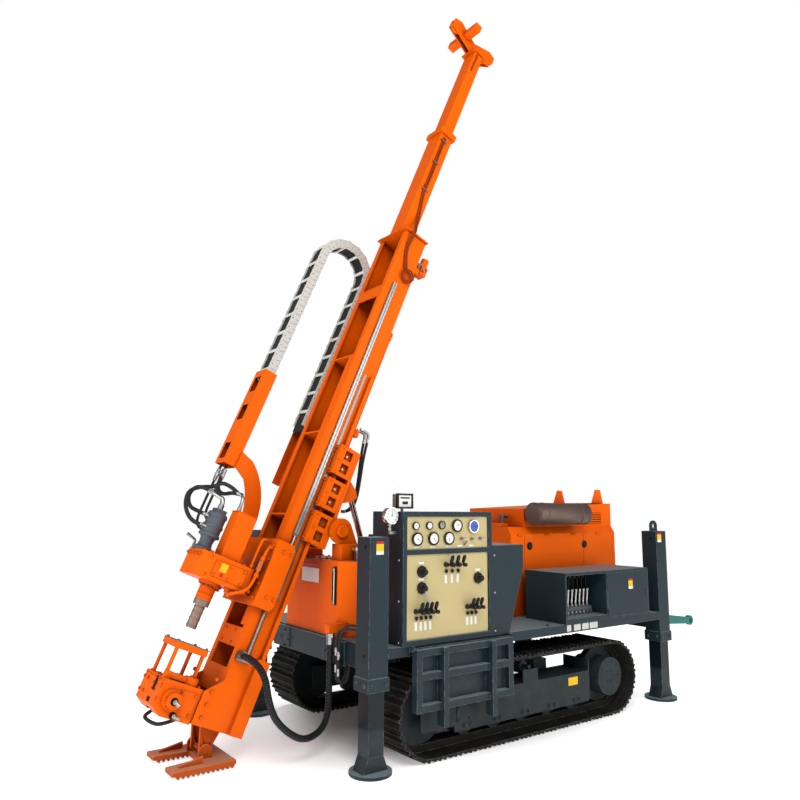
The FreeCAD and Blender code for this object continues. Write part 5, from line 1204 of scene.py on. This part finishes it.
    def jib_lines(self) -> None:
        """Lines that run up the near side of the jib, with clips, and one on its tip."""
        for index, w in enumerate((0.305, 0.322)):
            self.line(f"jib_line_{index}", OVERSPRAY, (
                (0.24 + 0.02 * index, 0.206, 2.225), (w - 0.02, 0.2, 2.33), (w, 0.2, 2.43),
                (w, 0.222, 2.52), (w, 0.236, 2.59), (w - 0.02, 0.17, 2.66), (w - 0.052, 0.1005, 2.8),
                (w + 0.004, 0.1005, 3.07), (w - 0.008, 0.1005, 3.24), (w + 0.004, 0.1005, 3.52),
                (w, 0.1005, 3.715)), 0.0075, self.slot)
        self.line("tip_line", OVERSPRAY, (
            (0.318, 0.0845, 4.62), (0.322, 0.0845, 4.7), (0.31, 0.0845, 4.78), (0.318, 0.0845, 4.84)),
            0.006, self.slot, "jib_tip")
        clips = self.piece("jib_line_clips", ZINC, bevel=0.0006, segments=1)
        for u in (3.1, 3.42, 3.68):
            clips.block((0.316, 0.1005, u), (0.062, 0.018, 0.012))
            clips.bolt((0.278, 0.092, u), LEFT, 0.012)

    def parts(self) -> None:
        """Starts the mast's pieces."""
        self.feed_chain()
        self.bolts()
        self.front_plates()
        self.feed_motor()
        self.jib_lines()


@dataclass
class HeadLooks(OnMast):
    """Rotation head: flange bolts, motor, swivel fittings, elbows and spindle rings."""

    body: str = "rotation_head"
    motor_at: tuple[float, float] = (0.79, -0.04)
    spindle_at: tuple[float, float] = (0.66, 0)

    def gearbox(self) -> None:
        """Flange, covers and bolts of the gearbox, and the carriage's screws."""
        flange = self.piece("gearbox_flange", ORANGE, bevel=0.002)
        for y in (-0.162 + 0.036 * index for index in range(10)):
            flange.bolt((0.85, y if abs(y) < 0.115 else y * 0.7, -0.508), AHEAD, 0.018)
        flange.bolts(product((0.5, 0.55, 0.6, 0.8), (-0.162, 0.162), (-0.48,)), UP, 0.022)
        flange.bolts(product((0.822,), (-0.1, -0.16, 0.02, -0.05, 0.08), (-0.48,)), UP, 0.02)
        flange.side_bolts(product((0.54, 0.64, 0.74), (0.197,), (-0.607, -0.523)), 0.016)
        flange.side_bolts(product((0.46,), (0.19,), (-0.505, -0.625)), 0.018)
        flange.bolts(product((0.4201,), (-0.218, 0.218), (-0.65, -0.55, -0.38, -0.28)), AHEAD, 0.02)
        flange.bolts(product((0.29, 0.35), (0.25,), (-0.62, -0.3)), LEFT, 0.02)
        for hand in SIDES:
            flange.block((0.64, 0.1935 * hand, -0.565), (0.24, 0.007, 0.11))
            flange.bolts(product((0.795,), (0.175 * hand,), (-0.505, -0.625)), (0.7, 0.7 * hand, 0), 0.018)
            flange.lathe((0.56, 0.125 * hand, -0.65), DOWN, (
                (0.046, 0), (0.046, 0.012), (0.036, 0.018), (0.036, 0.034), (0.0, 0.036)), 28)
        flange.ring_of_bolts((*self.spindle_at, -0.67), DOWN, 0.066, 14, 0.014)
        flange.block((0.6585, 0.09, -0.157), (0.15, 0.124, 0.006))
        flange.ring_of_bolts((0.6585, 0.09, -0.154), UP, 0.05, 6, 0.016)

    def motor(self) -> None:
        """Cast ribs and port block of the head motor, and its shift lever."""
        w, y = self.motor_at
        cast = self.piece("head_motor_rings", IRON, "grey_paint", bevel=0.002)
        for u, r in ((-0.365, 0.073), (-0.3, 0.07), (-0.225, 0.07)):
            cast.lathe((w, y, u), UP, (
                (0.06, -0.012), (r, -0.01), (r + 0.003, 0.0), (r, 0.01), (0.06, 0.012)), 36)
        cast.lathe((w, y, -0.476), UP, (
            (0.045, -0.002), (0.07, -0.002), (0.072, 0.018), (0.052, 0.032), (0.046, 0.06),
            (0.05, 0.085), (0.062, 0.106)), 36)
        cast.block((w, y, -0.19), (0.08, 0.08, 0.03))
        cast.ring_of_bolts((w, y, -0.462), UP, 0.063, 6, 0.014)
        lever = self.piece("head_shift_lever", STEEL, "bare_steel")
        lever.bar((0.835, -0.12, -0.48), (0.835, -0.12, -0.42), 0.009)
        lever.bar((0.835, -0.12, -0.42), (0.905, -0.13, -0.4), 0.008, 0.012)

    def fittings(self) -> None:
        """Zinc nuts and sleeves of the head's hoses."""
        zinc = self.piece("head_fittings", ZINC, "bare_steel", bevel=0.0012)
        for u in (-0.33, -0.255):
            zinc.nut((0.796, -0.0985, u), (0, -0.0135, 0), 0.017)
            zinc.nut((0.796, -0.112, u), (0, -0.02, 0), 0.013, 24)
        for w, y, u, length in ((0.848, -0.04, -0.245, 0.03), (0.846, -0.02, -0.32, 0.026)):
            zinc.nut((w, y, u), (length, 0, 0), 0.014)
            zinc.nut((w + length, y, u), (0.022, 0, 0), 0.011, 24)
        for w, y in ((0.8, -0.372), (0.775, -0.335)):
            zinc.nut((w, y, 0.15), (0, 0, -0.095), 0.015, 16)
            zinc.nut((w, y, 0.095), (0, 0, 0.025), 0.018)
        for y in (-0.305, -0.285):
            zinc.nut((0.788, y, 0.15), (0, 0, -0.08), 0.0165, 16)
        zinc.nut((0.79, -0.05, -0.178), (0, 0, 0.04), 0.021)
        zinc.nut((0.7, 0.055, -0.152), (0, 0, 0.034), 0.016)
        zinc.bar((0.858, -0.1165, -0.0738), (0.884, -0.1415, -0.0662), 0.0205, sides=6)
        for y in (0.175, 0.205):
            zinc.nut((0.45, y, -0.476), (0, 0, 0.076), 0.011, 12)
            zinc.nut((0.45, y, -0.476), (0, 0, 0.021), 0.015)

    def hoses(self) -> None:
        """Elbow, swivel and the fixed loops at the motor."""
        self.line("head_elbow", ZINC, (
            (0.7, 0.055, -0.12), (0.7, 0.055, -0.06), (0.712, 0.03, -0.03), (0.74, 0.0, -0.022)),
            0.012, "bare_steel")
        self.line("motor_swivel", ZINC, (
            (0.79, -0.05, -0.142), (0.792, -0.052, -0.1), (0.82, -0.08, -0.084),
            (0.872, -0.13, -0.07)), 0.0165, "bare_steel")
        for name, route in (
                ("head_loop_hose", (
                    (0.74, 0.0, -0.022), (0.78, -0.04, 0.005), (0.85, -0.11, 0.015),
                    (0.862, -0.112, -0.06), (0.816, -0.074, -0.086))),
                ("motor_loop_hose", (
                    (0.872, -0.13, -0.07), (0.945, -0.205, -0.045), (0.992, -0.22, -0.13),
                    (0.965, -0.17, -0.225), (0.9, -0.11, -0.235), (0.866, -0.04, -0.245))),
                ("head_hose_more_0", (
                    (0.788, -0.305, 0.15), (0.788, -0.305, 0.08), (0.79, -0.29, 0.01),
                    (0.77, -0.2, -0.05), (0.735, -0.06, -0.015), (0.712, 0.03, -0.03))),
                ("head_hose_more_1", (
                    (0.788, -0.285, 0.15), (0.788, -0.285, 0.08), (0.8, -0.27, 0.0),
                    (0.9, -0.26, -0.04), (1.01, -0.2, -0.12), (1.01, -0.11, -0.25),
                    (0.93, -0.06, -0.33), (0.868, -0.02, -0.32)))):
            self.line(name, RUBBER, route, 0.0145)

    def pipework(self) -> None:
        """Painted pipes round the gearbox with their nuts, and its blank plates."""
        self.line("gearbox_pipe", ORANGE, (
            (0.44, 0.205, -0.3), (0.47, 0.232, -0.33), (0.47, 0.232, -0.56), (0.5, 0.225, -0.64),
            (0.6, 0.19, -0.69), (0.56, 0.125, -0.69)), 0.011, self.slot)
        self.line("gearbox_pipe_low", ORANGE, (
            (0.44, 0.15, -0.26), (0.49, 0.165, -0.26), (0.5, 0.17, -0.3), (0.5, 0.17, -0.476)),
            0.011, self.slot)
        nuts = self.piece("gearbox_pipe_nuts", ORANGE)
        for at, run in (((0.47, 0.232, -0.38), (0, 0, -0.026)), ((0.47, 0.232, -0.5), (0, 0, -0.026)),
                        ((0.5, 0.17, -0.476), (0, 0, 0.026)), ((0.4205, 0.205, -0.3), (0.0255, 0, 0))):
            nuts.nut(at, run, 0.017)
        for name, finish, u, wide, tall in (
                ("yellow", YELLOW, -0.548, 0.05, 0.056), ("red", RED, -0.596, 0.022, 0.022)):
            plate = self.piece(f"gearbox_plate_{name}", finish, **FLAT)
            plate.block((0.69, 0.1975, u), (wide, 0.0015, tall))

    def spindle(self) -> None:
        """Rings and threads of the spindle nose."""
        sleeve = self.piece("spindle_sleeve", ORANGE, "bare_steel", "spindle_body")
        sleeve.lathe((*self.spindle_at, -0.77), UP, (
            (0.0535, 0.0), (0.0565, 0.001), (0.0565, 0.01), (0.0555, 0.012), (0.0555, 0.024),
            (0.0565, 0.026), (0.0565, 0.04), (0.0555, 0.042), (0.0555, 0.054), (0.0565, 0.056),
            (0.0565, 0.088), (0.0535, 0.09)), 40)
        steel = self.piece("spindle_rings", SUB, "bare_steel", "spindle_body")
        for u, r in ((-0.784, 0.056), (-0.802, 0.055)):
            steel.lathe((*self.spindle_at, u), UP, (
                (0.052, -0.008), (r, -0.006), (r, 0.006), (0.052, 0.008)), 40)
        for u in (-0.825, -0.858, -0.9, -0.945):
            steel.lathe((*self.spindle_at, u), UP, (
                (0.035, -0.007), (0.0385, -0.004), (0.0385, 0.004), (0.035, 0.007)))

    def parts(self) -> None:
        """Starts the head's pieces."""
        self.gearbox()
        self.motor()
        self.fittings()
        self.hoses()
        self.pipework()
        self.spindle()


@dataclass
class ClampLooks(OnMast):
    """Rod clamp: cover screws, side ram fittings, return hose and the plate on the guide."""

    bore: tuple[float, float] = (0.66, 0)
    top: float = -1.285
    front: float = 0.752
    ram: float = -1.3925
    guide: float = -1.0595

    def housing(self) -> None:
        """Cover screws, caps and ram covers of the clamp, and painted shade for its pockets and fitting
        holes.
        """
        body = self.piece("clamp_screws", ORANGE, bevel=0.0015)
        body.bolts(product((0.505, 0.728), (-0.15, -0.12, 0.12, 0.15), (self.top,)), UP, 0.018)
        body.ring_of_bolts((*self.bore, self.top), UP, 0.082, 12, 0.016)
        body.bolts(product((self.front,), (-0.16, -0.09, 0.16), (-1.33, -1.41)), AHEAD, 0.018)
        body.bolts(product((self.front,), (0.02, 0.092), (-1.371, -1.335, -1.299)), AHEAD, 0.01)
        body.bolts(((self.front, -0.16 + 0.04 * index, -1.3) for index in range(9)), AHEAD, 0.01)
        body.side_bolts(product((0.515, 0.605), (0.18,), (-1.335, -1.45)), 0.016)
        for hand in SIDES:
            body.block((0.56, 0.1775 * hand, self.ram), (0.12, 0.006, 0.15))
            body.ring_of_bolts((0.66, 0.217 * hand, self.ram), (0, hand, 0), 0.054, 6, 0.012)
        body.block((0.645, 0.106, -1.262), (0.15, 0.056, 0.034))
        for w, y, steps, profile in (
                (0.56, -0.09, 28, ((0.04, 0), (0.04, 0.022), (0.03, 0.03), (0.0, 0.03))),
                (0.556, 0.108, 32, ((0.05, 0), (0.05, 0.04), (0.042, 0.048), (0.018, 0.048),
                                    (0.018, 0.056), (0.0, 0.058))),
                (0.722, 0.106, 28, ((0.028, 0), (0.028, 0.044), (0.0, 0.046)))):
            body.lathe((w, y, self.top), UP, profile, steps)
        # painted shade: thin black plates and discs stand in for the front pocket, the notch, the top slot
        # and the holes round the ram fittings
        dark = self.piece("clamp_recess_shade", SHADE, **FINE)
        dark.block((0.7525, 0.056, -1.335), (0.003, 0.04, 0.088))
        dark.block((0.751, 0.045, -1.436), (0.003, 0.052, 0.03))
        dark.block((0.56, 0.07, -1.2845), (0.11, 0.03, 0.003))
        dark.nut((0.66, 0.2335, self.ram), (0, 0.002, 0), 0.025, 24)
        dark.nut((0.61, 0.1795, -1.475), (0, 0.0025, 0), 0.022, 24)

    def fittings(self) -> None:
        """Fittings of the near ram and the return hose under the clamp."""
        zinc = self.piece("clamp_fittings", ZINC, "bare_steel")
        zinc.nut((0.66, 0.234, self.ram), (0, 0.022, 0), 0.015)
        zinc.bar((0.66, 0.256, self.ram), (0.632, 0.274, -1.404), 0.01, 0.012)
        zinc.nut((0.61, 0.18, -1.475), (0, 0.025, 0), 0.014)
        zinc.bar((0.61, 0.205, -1.475), (0.575, 0.22, -1.48), 0.009)
        self.line("clamp_hose", RUBBER, (
            (0.6, -0.15, -1.5), (0.64, -0.165, -1.55), (0.672, -0.08, -1.562),
            (0.672, 0.06, -1.56), (0.64, 0.13, -1.55), (0.56, 0.12, -1.5)), 0.012)

    def rod_guide(self) -> None:
        """Steel plate on the rod guide's frame, with its studs."""
        plate = self.piece("guide_plate", STEEL, "bare_steel", bevel=0.0015)
        studs = self.piece("guide_studs", ZINC, "bare_steel", **FINE)
        for hand in SIDES:
            plate.block((0.64, 0.104 * hand, self.guide), (0.25, 0.04, 0.005))
        for w in (0.535, 0.742):
            plate.block((w, 0, self.guide), (0.034, 0.21, 0.005))
            studs.bolts(product((w,), (-0.1, 0.1), (-1.057,)), UP, 0.018)

    def parts(self) -> None:
        """Starts the clamp's pieces."""
        self.housing()
        self.fittings()
        self.rod_guide()


def save_sizes() -> None:
    bpy.context.view_layer.update()


def main() -> None:
    """Builds the rig's looks in order."""
    logging.basicConfig(level=logging.INFO)
    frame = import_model()
    bpy.context.scene.view_settings.view_transform = "Standard"
    studio = Studio()
    studio.camera()
    studio.floor()
    studio.light()
    Castings().dress(frame)
    for assembly in (Hoses, EnergyChain, Console, Chassis, MastLooks, HeadLooks, ClampLooks):
        assembly().build()
    save_sizes()


if __name__ == "__main__":
    main()
